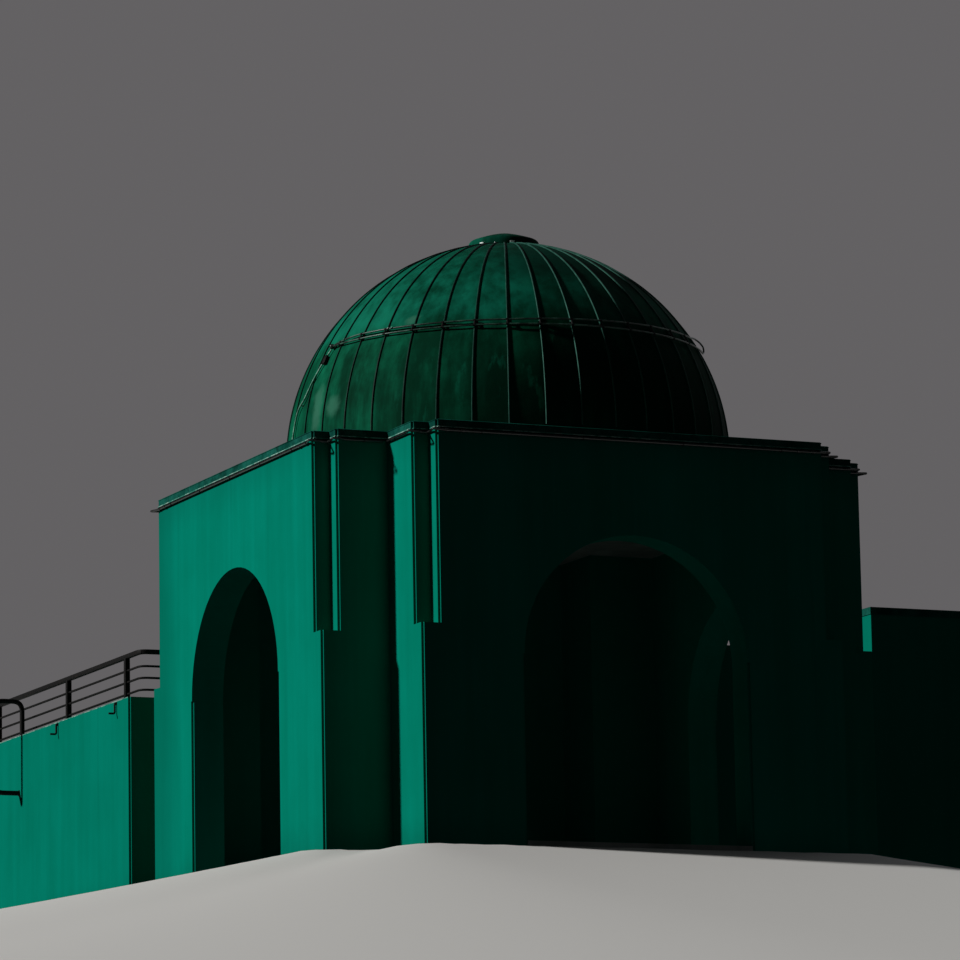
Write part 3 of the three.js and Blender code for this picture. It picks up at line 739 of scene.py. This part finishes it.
def to_distance(distance):
    return lambda flat: acos(distance / flat)


def strip(piece, x0, x1, begin, finish, inner, outer, across, along=48):
    """A closed curved strip; begin and finish give its end angles on a circle of some radius."""
    rows = []
    for i in range(along + 1):
        t = i / along
        ring = []
        for radius, order in ((outer, range(across + 1)), (inner, range(across, -1, -1))):
            for k in order:
                x = x0 + (x1 - x0) * k / across
                flat = sqrt(radius ** 2 - x ** 2)
                start, end = begin(flat), finish(flat)
                ring.append(strip_point(flat, x, start + (end - start) * t))
        rows.append(ring)
    piece.grid(rows)


def build_shutter():
    leaf = Piece()
    low, high = from_height(SHUTTER_LOW), to_distance(SHUTTER_START)
    strip(leaf, -SHUTTER_HALF, SHUTTER_HALF, low, high, SHUTTER_INNER, SHUTTER_OUTER, across=12)
    leaf.place("shutter_leaf", "dome", "copper_patina", ["shutter"], crease=30)


def build_battens():
    piece = Piece()
    low, high = from_height(SHUTTER_LOW + BATTEN_INSET), to_distance(SHUTTER_START + BATTEN_INSET)
    base, head = SHUTTER_OUTER - BATTEN_ROOT, SHUTTER_OUTER + BATTEN_TALL
    for x in BATTENS:
        strip(piece, x - BATTEN_HALF, x + BATTEN_HALF, low, high, base, head, across=1)
    # The battens take the seams' dark copper, a painted shade
    piece.place("shutter_battens", "dome", "copper_patina", finishes=[SEAM_SHADE_COPPER])


def build_surround():
    """Raised frame round the shutter: two long sides, a foot and a head."""
    piece = Piece()
    base, head = DOME_RADIUS + GAP, DOME_RADIUS + FRAME_TALL
    edge = SHUTTER_HALF + GAP
    low, high = from_height(SHUTTER_LOW - FRAME_WIDE), to_distance(SHUTTER_START - FRAME_WIDE)
    strip(piece, -edge - FRAME_WIDE, -edge, low, high, base, head, across=1)
    strip(piece, edge, edge + FRAME_WIDE, low, high, base, head, across=1)
    foot_end, head_start = from_height(SHUTTER_LOW - GAP), to_distance(SHUTTER_START - GAP)
    strip(piece, -edge, edge, low, foot_end, base, head, across=12, along=2)
    strip(piece, -edge, edge, head_start, high, base, head, across=12, along=2)
    piece.place("shutter_surround", "dome", "copper_patina", ["shutter_frame"], crease=30)


# Ring rail: two rods, clamped together on the seams, with a knob at one end and a bow at the other.
# Its places are a lift off the shell, a latitude and a bearing.
ROD_LIFT = 0.065
ROD_RADIUS = 0.020
ROD_LOWER = 27.4
ROD_UPPER = 28.9
ROD_RISE = 0.018
ROD_DIP = 12
ROD_FROM = -59.6
ROD_STEPS = 120
UPPER_TO = 70
LOWER_TO = 76
BOW = [
    (0.065, 30.16, 70), (0.076, 30.5, 72.5), (0.092, 30.6, 75.5),
    (0.124, 29.9, 78.3), (0.136, 28.9, 80.4), (0.106, 28.1, 81.5),
    (0.066, 27.5, 80.8), (0.062, 27.35, 78.6), (0.065, 27.4, 76),
]
KNOB_RADIUS = 0.062
KNOB_STEPS = 12

# Fittings of the rail. A stem and a foot are two lifts, a radius and sides.
COLLAR_HALF = 0.35
COLLAR_WALL = 0.008
STRAP_RADIUS = 0.017
STRAP_LIFT = 0.004
STEM_AND_FOOT = [(ROD_LIFT, 0.018, 0.015, 8), (0.040, 0.016, 0.036, 10)]
RAIL_BOLTS = [(-34.6, 0.022), (-35.9, 0.014), (-53.523, 0.016)]
RAIL_BOLT_ENDS = (0.014, 0.040)


def upper_latitude(bearing):
    """The upper rod climbs a little to the right, and dips down to the knob at its left end."""
    dip = max(0.0, ROD_FROM + ROD_DIP - bearing) / ROD_DIP
    return ROD_UPPER + ROD_RISE * max(0.0, bearing) - (ROD_UPPER - ROD_LOWER) * dip ** 1.5


def on_upper(bearing, lift=ROD_LIFT):
    return off_shell(lift, upper_latitude(bearing), bearing)


def on_lower(bearing, lift=ROD_LIFT):
    return off_shell(lift, ROD_LOWER, bearing)


def build_rail():
    steps = [i / ROD_STEPS for i in range(ROD_STEPS + 1)]
    upper = [on_upper(ROD_FROM + (UPPER_TO - ROD_FROM) * t) for t in steps[:-1]]
    lower = [on_lower(LOWER_TO + (ROD_FROM - LOWER_TO) * t) for t in steps[1:]]
    bow = smooth_route([off_shell(*place) for place in BOW])
    piece = Piece()
    piece.tube(upper + bow + lower, ROD_RADIUS)
    start = on_lower(ROD_FROM)
    along = (on_lower(ROD_FROM + 1) - start).normalized()
    turns = [pi * i / KNOB_STEPS for i in range(1, KNOB_STEPS)]
    knob = [start + along * (KNOB_RADIUS * cos(t)) for t in turns]
    last = len(turns) - 1
    piece.tube(knob, lambda share: KNOB_RADIUS * sin(turns[round(share * last)]), 18)
    piece.place("rail_rods", "dome", "dark_metal", ["ring_rail"], finishes=[RAIL])


def build_clamps():
    """Two collars, a strap, a stem and a foot on each seam."""
    piece = Piece()
    rods = (on_upper, on_lower)
    for seam in range(ceil(ROD_FROM / GORE), floor(UPPER_TO / GORE) + 1):
        bearing = seam * GORE
        for rod in rods:
            ends = [rod(bearing + off) for off in (-COLLAR_HALF, COLLAR_HALF)]
            piece.tube(ends, ROD_RADIUS + COLLAR_WALL)
        piece.tube([rod(bearing, ROD_LIFT + STRAP_LIFT) for rod in rods], STRAP_RADIUS, 8)
        middle = (upper_latitude(bearing) + ROD_LOWER) / 2
        for top, bottom, radius, sides in STEM_AND_FOOT:
            piece.tube([off_shell(lift, middle, bearing) for lift in (top, bottom)], radius, sides)
    piece.place("rail_clamps", "dome", "dark_metal")


def build_rail_bolts():
    piece = Piece()
    for bearing, size in RAIL_BOLTS:
        ends = [on_upper(bearing, ROD_LIFT + reach) for reach in RAIL_BOLT_ENDS]
        piece.tube(ends, size, 6)
    piece.place("rail_bolts", "dome", "pale_metal", finishes=[CHALK_AND_HIGHLIGHT])


# Conduit from the knob to the skirt. Its stops and clips are a latitude and a bearing.
CONDUIT_LIFT = 0.045
CONDUIT_RADIUS = 0.020
CONDUIT_ROUTE = [
    (26.6, -59.8), (23.6, -61.5), (18.5, -64.6), (14.4, -67.2),
    (11.1, -71.2), (4.4, -72.9), (1, -73.3),
]
CLIPS = [(18.5, -7 * GORE), (12.7, -7.5 * GORE)]
CLIP_LIFT = 0.004
CLIP_RADIUS = 0.013
CLIP_FOOT = 0.008
CLIP_FOOT_RADIUS = 0.034

# Junction box, built about the origin with -Y outward: a body, a lid and four screws
BOX_PLACE = (23.9, -61.2)
BOX_SUNK = 0.012
BOX_BODY = ((-0.060, -0.070, -0.100), (0.060, 0.0, 0.100))
BOX_LID = ((-0.066, -0.082, -0.106), (0.066, -0.068, 0.106))
SCREW_X = 0.05
SCREW_Z = 0.09
SCREW_ENDS = (-0.081, -0.088)
SCREW_RADIUS = 0.007


def build_conduit():
    piece = Piece()
    piece.tube(smooth_route([off_shell(CONDUIT_LIFT, *stop) for stop in CONDUIT_ROUTE]), CONDUIT_RADIUS)
    for latitude, bearing in CLIPS:
        radius = DOME_RADIUS * gore_squeeze(bearing) + CLIP_LIFT
        seat = on_dome(radius, latitude, bearing)
        piece.tube([seat, off_shell(CONDUIT_LIFT, latitude, bearing)], CLIP_RADIUS, 8)
        piece.tube([seat, on_dome(radius + CLIP_FOOT, latitude, bearing)], CLIP_FOOT_RADIUS)
    piece.place("conduit", "dome", "pale_metal", ["dome_conduit"])


def build_junction_box():
    latitude, bearing = BOX_PLACE
    tilt = Matrix.Rotation(radians(-latitude), 4, "X")
    swing = Matrix.Rotation(radians(bearing + DOME_HEADING), 4, "Z")
    seat = Matrix.Translation(off_shell(-BOX_SUNK, latitude, bearing)) @ swing @ tilt
    piece = Piece()
    piece.box(*BOX_BODY, seat, 0.008)
    piece.box(*BOX_LID, seat, 0.004)
    for x in (-SCREW_X, SCREW_X):
        for z in (-SCREW_Z, SCREW_Z):
            piece.tube([seat @ Vector((x, y, z)) for y in SCREW_ENDS], SCREW_RADIUS, 6)
    piece.place("junction_box", "dome", "dark_metal")


# Coping trim: sections as (outward, height) points, with their heights above the wall's top. The fillet's
# pale finish is a painted highlight, and the dark strip under it is painted shade.
FILLET_SECTION = [(-ROOT, 0.032), (0.014, 0.032), (0.016, 0.042), (0.012, 0.052), (-ROOT, 0.058)]
GAP_SHADE_SECTION = [(-ROOT, -0.006), (0.003, -0.006), (0.003, 0.030), (-ROOT, 0.030)]
ROLL_RADIUS = 0.014
ROLL_DROP = 0.010


def arm_sizes(side):
    """Distances of an arm's left and right flanks, its end, which is negative, and its root."""
    i = SIDES.index(side)
    return FLANKS[SIDES[i - 1]], FLANKS[SIDES[(i + 1) % 4]], -REACH[side], FLANKS[side]


def arm_points(side, outline):
    return [turned((x, y, 0), SIDES.index(side)) for x, y in outline]


def mirrored(points):
    return [(-x, y) for x, y in points]


def outer_corner(flank, end):
    """The notched right corner of an arm, with a rebate on its two edges."""
    notch, rebate, deep = flank - NOTCH, flank - REBATE, flank - NOTCH - REBATE
    return [
        (flank, end + NOTCH + REBATE), (rebate, end + NOTCH + REBATE), (rebate, end + NOTCH),
        (notch, end + NOTCH), (notch, end + REBATE), (deep, end + REBATE), (deep, end),
    ]


def arm_outline(side):
    """Outline of an arm at its top, from its left root round to its right flank."""
    left, right, end, root = arm_sizes(side)
    outline = mirrored([(left, -root)] + outer_corner(left, end)) + outer_corner(right, end)[::-1]
    return arm_points(side, outline)


def build_coping_trim():
    route = [spot for side in SIDES for spot in arm_outline(side)]
    roll = [(a - ROOT, b + COPING_TOP - ROLL_DROP - WALL_TOP) for a, b in circle(ROLL_RADIUS, 10)]
    trims = [
        # The pale fillet along the coping's lower edge, a painted highlight
        ("coping_fillet", FILLET_SECTION, "pale_metal", CHALK_AND_HIGHLIGHT, 40),
        # A dark strip under the fillet, painted shade in the gap over the pipe
        ("coping_gap_shade", GAP_SHADE_SECTION, "dark_metal", GAP_SHADE, 40),
        ("coping_roll", roll, "coping_paint", FINISHES["coping_paint"], 50),
    ]
    for name, section, slot, finish, crease in trims:
        piece = Piece()
        piece.moulding(route, [(out, WALL_TOP + up) for out, up in section], True)
        piece.place(name, "pavilion", slot, crease=crease, finishes=[finish])


# Pipe under the coping, with a pointed loop round each outer corner
PIPE_OUT = 0.05
PIPE_Z = 8.765
PIPE_TIP = 0.13
TIP_SPAN = 0.15
PIPE_RADIUS = 0.025
PIPE_BEND = 0.035
PIPE_CLEAR = 2.5 * PIPE_RADIUS
COUPLINGS = [0.05, 0.42]
COUPLING_LONG = 0.07
COUPLING_WALL = 0.010

# Brackets of the pipe. A plate and a stem are two distances off the wall, a radius and sides.
BRACKET_PITCH = 2.05
FLANK_BRACKET = 0.55
PLATE_AND_STEM = [(0.0005, 0.010, 0.036, 14), (0.008, PIPE_OUT, 0.012, 8)]
LOOP_RADIUS = 0.030
LOOP_SIDES = 15
LOOP_WIRE = 0.006


def pipe_tip(x, y):
    return [(x + PIPE_OUT, y + TIP_SPAN), (x + PIPE_TIP, y - PIPE_TIP), (x - TIP_SPAN, y - PIPE_OUT)]


def pipe_half(flank, end, root):
    """Right half of the pipe's route on an arm, from the re-entrant corner to the arm's end."""
    inner, outer = flank - NOTCH, end + NOTCH
    start = (flank + PIPE_OUT, -root - PIPE_OUT - PIPE_CLEAR)
    between = (inner + PIPE_OUT, outer - PIPE_OUT)
    return [start] + pipe_tip(flank, outer) + [between] + pipe_tip(inner, end)


def build_pipe(side):
    """The pipe of one arm, with two couplings near each end of its front run."""
    left, right, end, root = arm_sizes(side)
    lift = Vector((0, 0, PIPE_Z))
    outline = mirrored(pipe_half(left, end, root)) + pipe_half(right, end, root)[::-1]
    piece = Piece()
    piece.tube(rounded([spot + lift for spot in arm_points(side, outline)], PIPE_BEND), PIPE_RADIUS)
    for flank, sign in ((left, -1), (right, 1)):
        for inset in COUPLINGS:
            start = flank - NOTCH - TIP_SPAN - inset
            ends = [(sign * (start - reach), end - PIPE_OUT) for reach in (0.0, COUPLING_LONG)]
            sleeve = [spot + lift for spot in arm_points(side, ends)]
            piece.tube(sleeve, PIPE_RADIUS + COUPLING_WALL)
    piece.place(f"{side}_pipe", "pavilion", "dark_metal", [f"{side}_cornice_pipe"], finishes=[GLOSS])


def bracket_spots(side):
    """Places of the brackets on an arm's walls, each with its direction out of the wall."""
    left, right, end, root = arm_sizes(side)
    span = left + right - 2 * NOTCH - BRACKET_PITCH
    count = round(span / BRACKET_PITCH)
    spots = [((right - left - span) / 2 + i * span / count, end, 0, -1) for i in range(count + 1)]
    return spots + [(-left, -root - FLANK_BRACKET, -1, 0), (right, -root - FLANK_BRACKET, 1, 0)]


def build_brackets(side):
    """Round wall plates with a stem, each with a wire loop about the pipe."""
    piece = Piece()
    for x, y, out_x, out_y in bracket_spots(side):
        def at(reach, lift=0.0):
            return turned((x + out_x * reach, y + out_y * reach, PIPE_Z + lift), SIDES.index(side))
        for near, far, radius, sides in PLATE_AND_STEM:
            piece.tube([at(near), at(far)], radius, sides)
        loop = [at(PIPE_OUT + a, b) for a, b in circle(LOOP_RADIUS, LOOP_SIDES)]
        piece.tube(loop + loop[:1], LOOP_WIRE, 6)
    piece.place(f"{side}_pipe_brackets", "pavilion", "dark_metal")


# Terrace railings. The bars are thicker than the frame's, so that they read from afar.
RAILING_X = -6.33
RAILING_Y = 6.96
RAILING_BACK = -3.3
RAILING_HEIGHT = 1.092
RAILING_BARS = [0.2, 0.48, 0.755]
RAILING_POSTS = [7.92, 12.07, 17.37]
RAILING_BEND = 0.22
BEND_STEPS = 8
TOP_RAIL = 0.11
RAIL_ROUNDING = 0.0242
BAR = 0.054
POST_SIZE = 0.12
POST_LAP = 0.01
FOOT_PLATE = 0.18
PLATE_TOP = 0.014
PLATE_LAP = 0.002
BOLT_INSET = 0.022
BOLT_ROOT = 0.001
BOLT_TALL = 0.014
BOLT_RADIUS = 0.010


def rail_section():
    """The top rail's square section with rounded corners, as (outward, height) points."""
    half = TOP_RAIL / 2 - RAIL_ROUNDING
    points = []
    for quarter, (x, z) in enumerate([(1, 1), (-1, 1), (-1, -1), (1, -1)]):
        for i in range(5):
            t = radians(90 * (quarter + i / 4))
            points.append((x * half + RAIL_ROUNDING * cos(t), z * half + RAIL_ROUNDING * sin(t)))
    return points


def add_post(piece, x, y, head):
    """A square post on a foot plate that is held by four bolts."""
    half, foot, inset = POST_SIZE / 2, FOOT_PLATE / 2, FOOT_PLATE / 2 - BOLT_INSET
    north = min(y + foot, TERRACE_NORTH)
    plate = TERRACE_TOP + PLATE_TOP
    piece.box((x - half, y - half, plate - PLATE_LAP), (x + half, y + half, head), bevel=0.008)
    piece.box((x - foot, y - foot, TERRACE_TOP + GAP), (x + foot, north, plate), bevel=0.003)
    for dx in (-inset, inset):
        for dy in (-inset, inset):
            bolt = Vector((x + dx, y + dy, plate - BOLT_ROOT))
            piece.tube([bolt, bolt + Vector((0, 0, BOLT_TALL))], BOLT_RADIUS, 6)


def build_railing(name, route, posts):
    piece = Piece()
    top = TERRACE_TOP + RAILING_HEIGHT
    piece.moulding(route, [(o, top + z) for o, z in rail_section()])
    for height in RAILING_BARS:
        lift = Vector((0, 0, TERRACE_TOP + height))
        piece.tube([spot + lift for spot in route], BAR / 2)
    for x, y in posts:
        add_post(piece, x, y, top - TOP_RAIL / 2 + POST_LAP)
    piece.place(f"{name}_tubes", "pavilion", "dark_metal", [name], crease=35)


def build_railings():
    """Front and end railings, which meet half way round a bent corner."""
    corner = Vector((RAILING_X, RAILING_Y, 0))
    front, end = Vector((RAILING_X, TERRACE_NORTH, 0)), Vector((RAILING_BACK, RAILING_Y, 0))
    route = rounded([front, corner, end], RAILING_BEND, BEND_STEPS)
    half = 1 + BEND_STEPS // 2
    build_railing("terrace_railing_front", route[:half + 1], [(RAILING_X, y) for y in RAILING_POSTS])
    build_railing("terrace_railing_end", route[half:], [(RAILING_BACK - POST_SIZE, RAILING_Y)])


# Edge of the terrace: a section as (outward, height) points, with heights above the terrace's top
EDGE_SECTION = [(-0.03, 0.001), (0.003, 0.001), (0.003, -0.016), (-0.03, -0.016)]


def build_terrace_edge():
    """A thin line of bare mortar along the top outer edge of the terrace's walls."""
    route = [
        Vector((TERRACE_WEST, TERRACE_NORTH, 0)),
        Vector((TERRACE_WEST, TERRACE_SOUTH + REBATE, 0)),
    ]
    piece = Piece()
    piece.moulding(route, [(out, TERRACE_TOP + up) for out, up in EDGE_SECTION])
    piece.place("terrace_edge", "pavilion", "pale_metal", finishes=[CHALK_AND_HIGHLIGHT])


# Hoop rail, from the terrace out over the wall and back to its face
HOOP_X = -6.62
HOOP_Y = 14.71
HOOP_OUT = 0.75
HOOP_HEIGHT = 0.85
HOOP_FOOT = 3.3
HOOP_BEND = 0.25
HOOP_RADIUS = 0.06
FLANGE_RIM = 0.018
FLANGE_THICK = 0.014


def build_hoop():
    base, out = TERRACE_TOP + GAP, HOOP_X - HOOP_OUT
    top, face = TERRACE_TOP + HOOP_HEIGHT, TERRACE_WEST - GAP
    corners = [(HOOP_X, base), (HOOP_X, top), (out, top), (out, HOOP_FOOT), (face, HOOP_FOOT)]
    ends = [
        [(HOOP_X, base), (HOOP_X, TERRACE_TOP + FLANGE_THICK)],
        [(face, HOOP_FOOT), (TERRACE_WEST - FLANGE_THICK, HOOP_FOOT)],
    ]
    piece = Piece()
    piece.tube(rounded([Vector((x, HOOP_Y, z)) for x, z in corners], HOOP_BEND, BEND_STEPS), HOOP_RADIUS, 16)
    for end in ends:
        piece.tube([Vector((x, HOOP_Y, z)) for x, z in end], HOOP_RADIUS + FLANGE_RIM, 20)
    piece.place("hoop_tube", "pavilion", "dark_metal", ["terrace_hoop_rail"], crease=35)


# Drain spouts on the terrace wall
SPOUT_PLACES = [7.62, 11.79]
SPOUT_TOP = 4.66
SPOUT_FOOT = 4.42
SPOUT_OUT = 0.045
SPOUT_KICK = 0.15
SPOUT_BEND = 0.045
SPOUT_RADIUS = 0.024
COLLAR_RADIUS = 0.045


def build_spouts():
    """Two short pipes, each with a collar on the wall and kicked out at its foot."""
    piece = Piece()
    down = TERRACE_WEST - SPOUT_OUT
    corners = [
        (TERRACE_WEST + 0.002, SPOUT_TOP), (down, SPOUT_TOP),
        (down, SPOUT_FOOT), (down - SPOUT_KICK, SPOUT_FOOT),
    ]
    for y in SPOUT_PLACES:
        piece.tube(rounded([Vector((x, y, z)) for x, z in corners], SPOUT_BEND), SPOUT_RADIUS)
        collar = [Vector((TERRACE_WEST + off, y, SPOUT_TOP)) for off in (0.001, -0.008)]
        piece.tube(collar, COLLAR_RADIUS, 14)
    piece.place("wall_spouts", "pavilion", "dark_metal")


build_panels()
build_seams()
build_skirt()
build_cap()
build_cap_clips()
build_shutter()
build_battens()
build_surround()
build_rail()
build_clamps()
build_rail_bolts()
build_conduit()
build_junction_box()
build_coping_trim()
for side in SIDES:
    build_pipe(side)
    build_brackets(side)
build_railings()
build_terrace_edge()
build_hoop()
build_spouts()


# Stage: a pale floor, level about the building's foot and falling away round it.
# The foot is a few boxes, each its least x and y and its greatest.
FOOTPRINT = [
    (-6.7, -5.13, 6.45, 5.13),
    (-5.13, -6.85, 4.81, 6.78),
    (-6.7, 6.78, -3.1, 17.45),
    (4.81, 6.03, 15.4, 6.78),
]
APRON = 0.5
FALL = tan(radians(12))
FLOOR_CENTRE = (1.0, 4.0)
FLOOR_SUNK = 0.004
FLOOR_DROP = 16.0
NEAR_REACH = 30.0
NEAR_RINGS = 110
FLOOR_REACH = 900.0
FLOOR_RINGS = 150
FLOOR_SPOKES = 180


def floor_height(x, y):
    away = min(
        hypot(max(x0 - x, 0, x - x1), max(y0 - y, 0, y - y1))
        for x0, y0, x1, y1 in FOOTPRINT
    )
    fall = max(0.0, away - APRON) * FALL
    return -FLOOR_DROP * (1 - exp(-fall / FLOOR_DROP)) - FLOOR_SUNK


def ring_radius(i):
    """Even rings near the building, then ever wider ones."""
    if i <= NEAR_RINGS:
        return NEAR_REACH * i / NEAR_RINGS
    return NEAR_REACH * (FLOOR_REACH / NEAR_REACH) ** ((i - NEAR_RINGS) / (FLOOR_RINGS - NEAR_RINGS))


def floor_mesh():
    mesh = bmesh.new()
    x0, y0 = FLOOR_CENTRE
    hub = mesh.verts.new((x0, y0, floor_height(x0, y0)))
    rings = []
    for i in range(1, FLOOR_RINGS + 1):
        spots = [(x0 + a, y0 + b) for a, b in circle(ring_radius(i), FLOOR_SPOKES)]
        rings.append([mesh.verts.new((x, y, floor_height(x, y))) for x, y in spots])
    for k in range(FLOOR_SPOKES):
        after = (k + 1) % FLOOR_SPOKES
        mesh.faces.new((hub, rings[0][k], rings[0][after]))
        for inner, outer in zip(rings, rings[1:]):
            mesh.faces.new((inner[k], outer[k], outer[after], inner[after]))
    data = bpy.data.meshes.new("floor")
    mesh.to_mesh(data)
    data.shade_smooth()
    return data


def build_floor():
    """The floor throws no bounce light, so that the shaded faces stay dark."""
    ground = add_object("floor", floor_mesh())
    ground.data.materials.append(Graph("floor").finish(rgb(0.76, 0.75, 0.73), 0.95))
    ground.visible_diffuse = False


# Flag: an upright panel by the north arch
FLAG_X = -3.0
FLAG_Y = (6.85, 8.9)
FLAG_TOP = 8.7


def build_flag():
    """A studio flag that the camera doesn't see. It keeps the key light out of the hall."""
    near, far = FLAG_Y
    corners = [(FLAG_X, near, 0), (FLAG_X, far, 0), (FLAG_X, far, FLAG_TOP), (FLAG_X, near, FLAG_TOP)]
    data = bpy.data.meshes.new("flag")
    data.from_pydata(corners, [], [(0, 1, 2, 3)])
    flag = add_object("flag", data)
    data.materials.append(Graph("flag").finish(rgb(0.02, 0.02, 0.02), 1.0))
    flag.visible_camera = False


# Light: one soft key from the left, low sky light, and a weak fill
KEY = {"bearing": -73, "elevation": 28, "strength": 3.0, "softness": 4, "color": (1.0, 0.99, 0.97)}
FILL = {"bearing": 50, "elevation": 35, "strength": 0.22, "softness": 60, "color": (0.92, 0.96, 1.0)}
SKY = rgb(0.93, 0.97, 1.0)
SKY_STRENGTH = 0.016
BACKDROP = rgb(0.125, 0.120, 0.124)


def build_sun(name, bearing, elevation, strength, softness, color):
    data = bpy.data.lights.new(name, "SUN")
    data.energy = strength
    data.angle = radians(softness)
    data.color = color
    lamp = add_object(name, data)
    lamp.rotation_euler = (radians(elevation - 90), 0, radians(-bearing))


def build_world():
    """Sky light for the building, and a plain backdrop for the camera."""
    world = bpy.data.worlds.new("studio")
    bpy.context.scene.world = world
    world.use_nodes = True
    nodes, links = world.node_tree.nodes, world.node_tree.links
    lit = nodes["Background"]
    lit.inputs["Color"].default_value = SKY
    lit.inputs["Strength"].default_value = SKY_STRENGTH
    seen = nodes.new("ShaderNodeBackground")
    seen.inputs["Color"].default_value = BACKDROP
    either = nodes.new("ShaderNodeMixShader")
    links.new(nodes.new("ShaderNodeLightPath").outputs["Is Camera Ray"], either.inputs[0])
    links.new(lit.outputs[0], either.inputs[1])
    links.new(seen.outputs[0], either.inputs[2])
    links.new(either.outputs[0], nodes["World Output"].inputs["Surface"])
    bpy.context.scene.view_settings.view_transform = "Standard"


# Camera, from a fit of the building's edges to the photo
CAMERA_PLACE = (-45.995, -101.799, -10.036)
CAMERA_BEARING = 23.987
CAMERA_PITCH = 9.708
CAMERA_ROLL = -1.025
SENSOR = 36.0
LENS = 187.5
CLIP_END = 2000


def build_camera():
    data = bpy.data.cameras.new("camera")
    data.sensor_width = SENSOR
    data.lens = LENS
    data.clip_end = CLIP_END
    camera = add_object("camera", data)
    swing = Matrix.Rotation(radians(-CAMERA_BEARING), 4, "Z")
    pitch = Matrix.Rotation(radians(90 + CAMERA_PITCH), 4, "X")
    roll = Matrix.Rotation(radians(CAMERA_ROLL), 4, "Z")
    camera.matrix_world = Matrix.Translation(CAMERA_PLACE) @ swing @ pitch @ roll
    bpy.context.scene.camera = camera


build_floor()
build_flag()
build_sun("key", **KEY)
build_sun("fill", **FILL)
build_world()
build_camera()
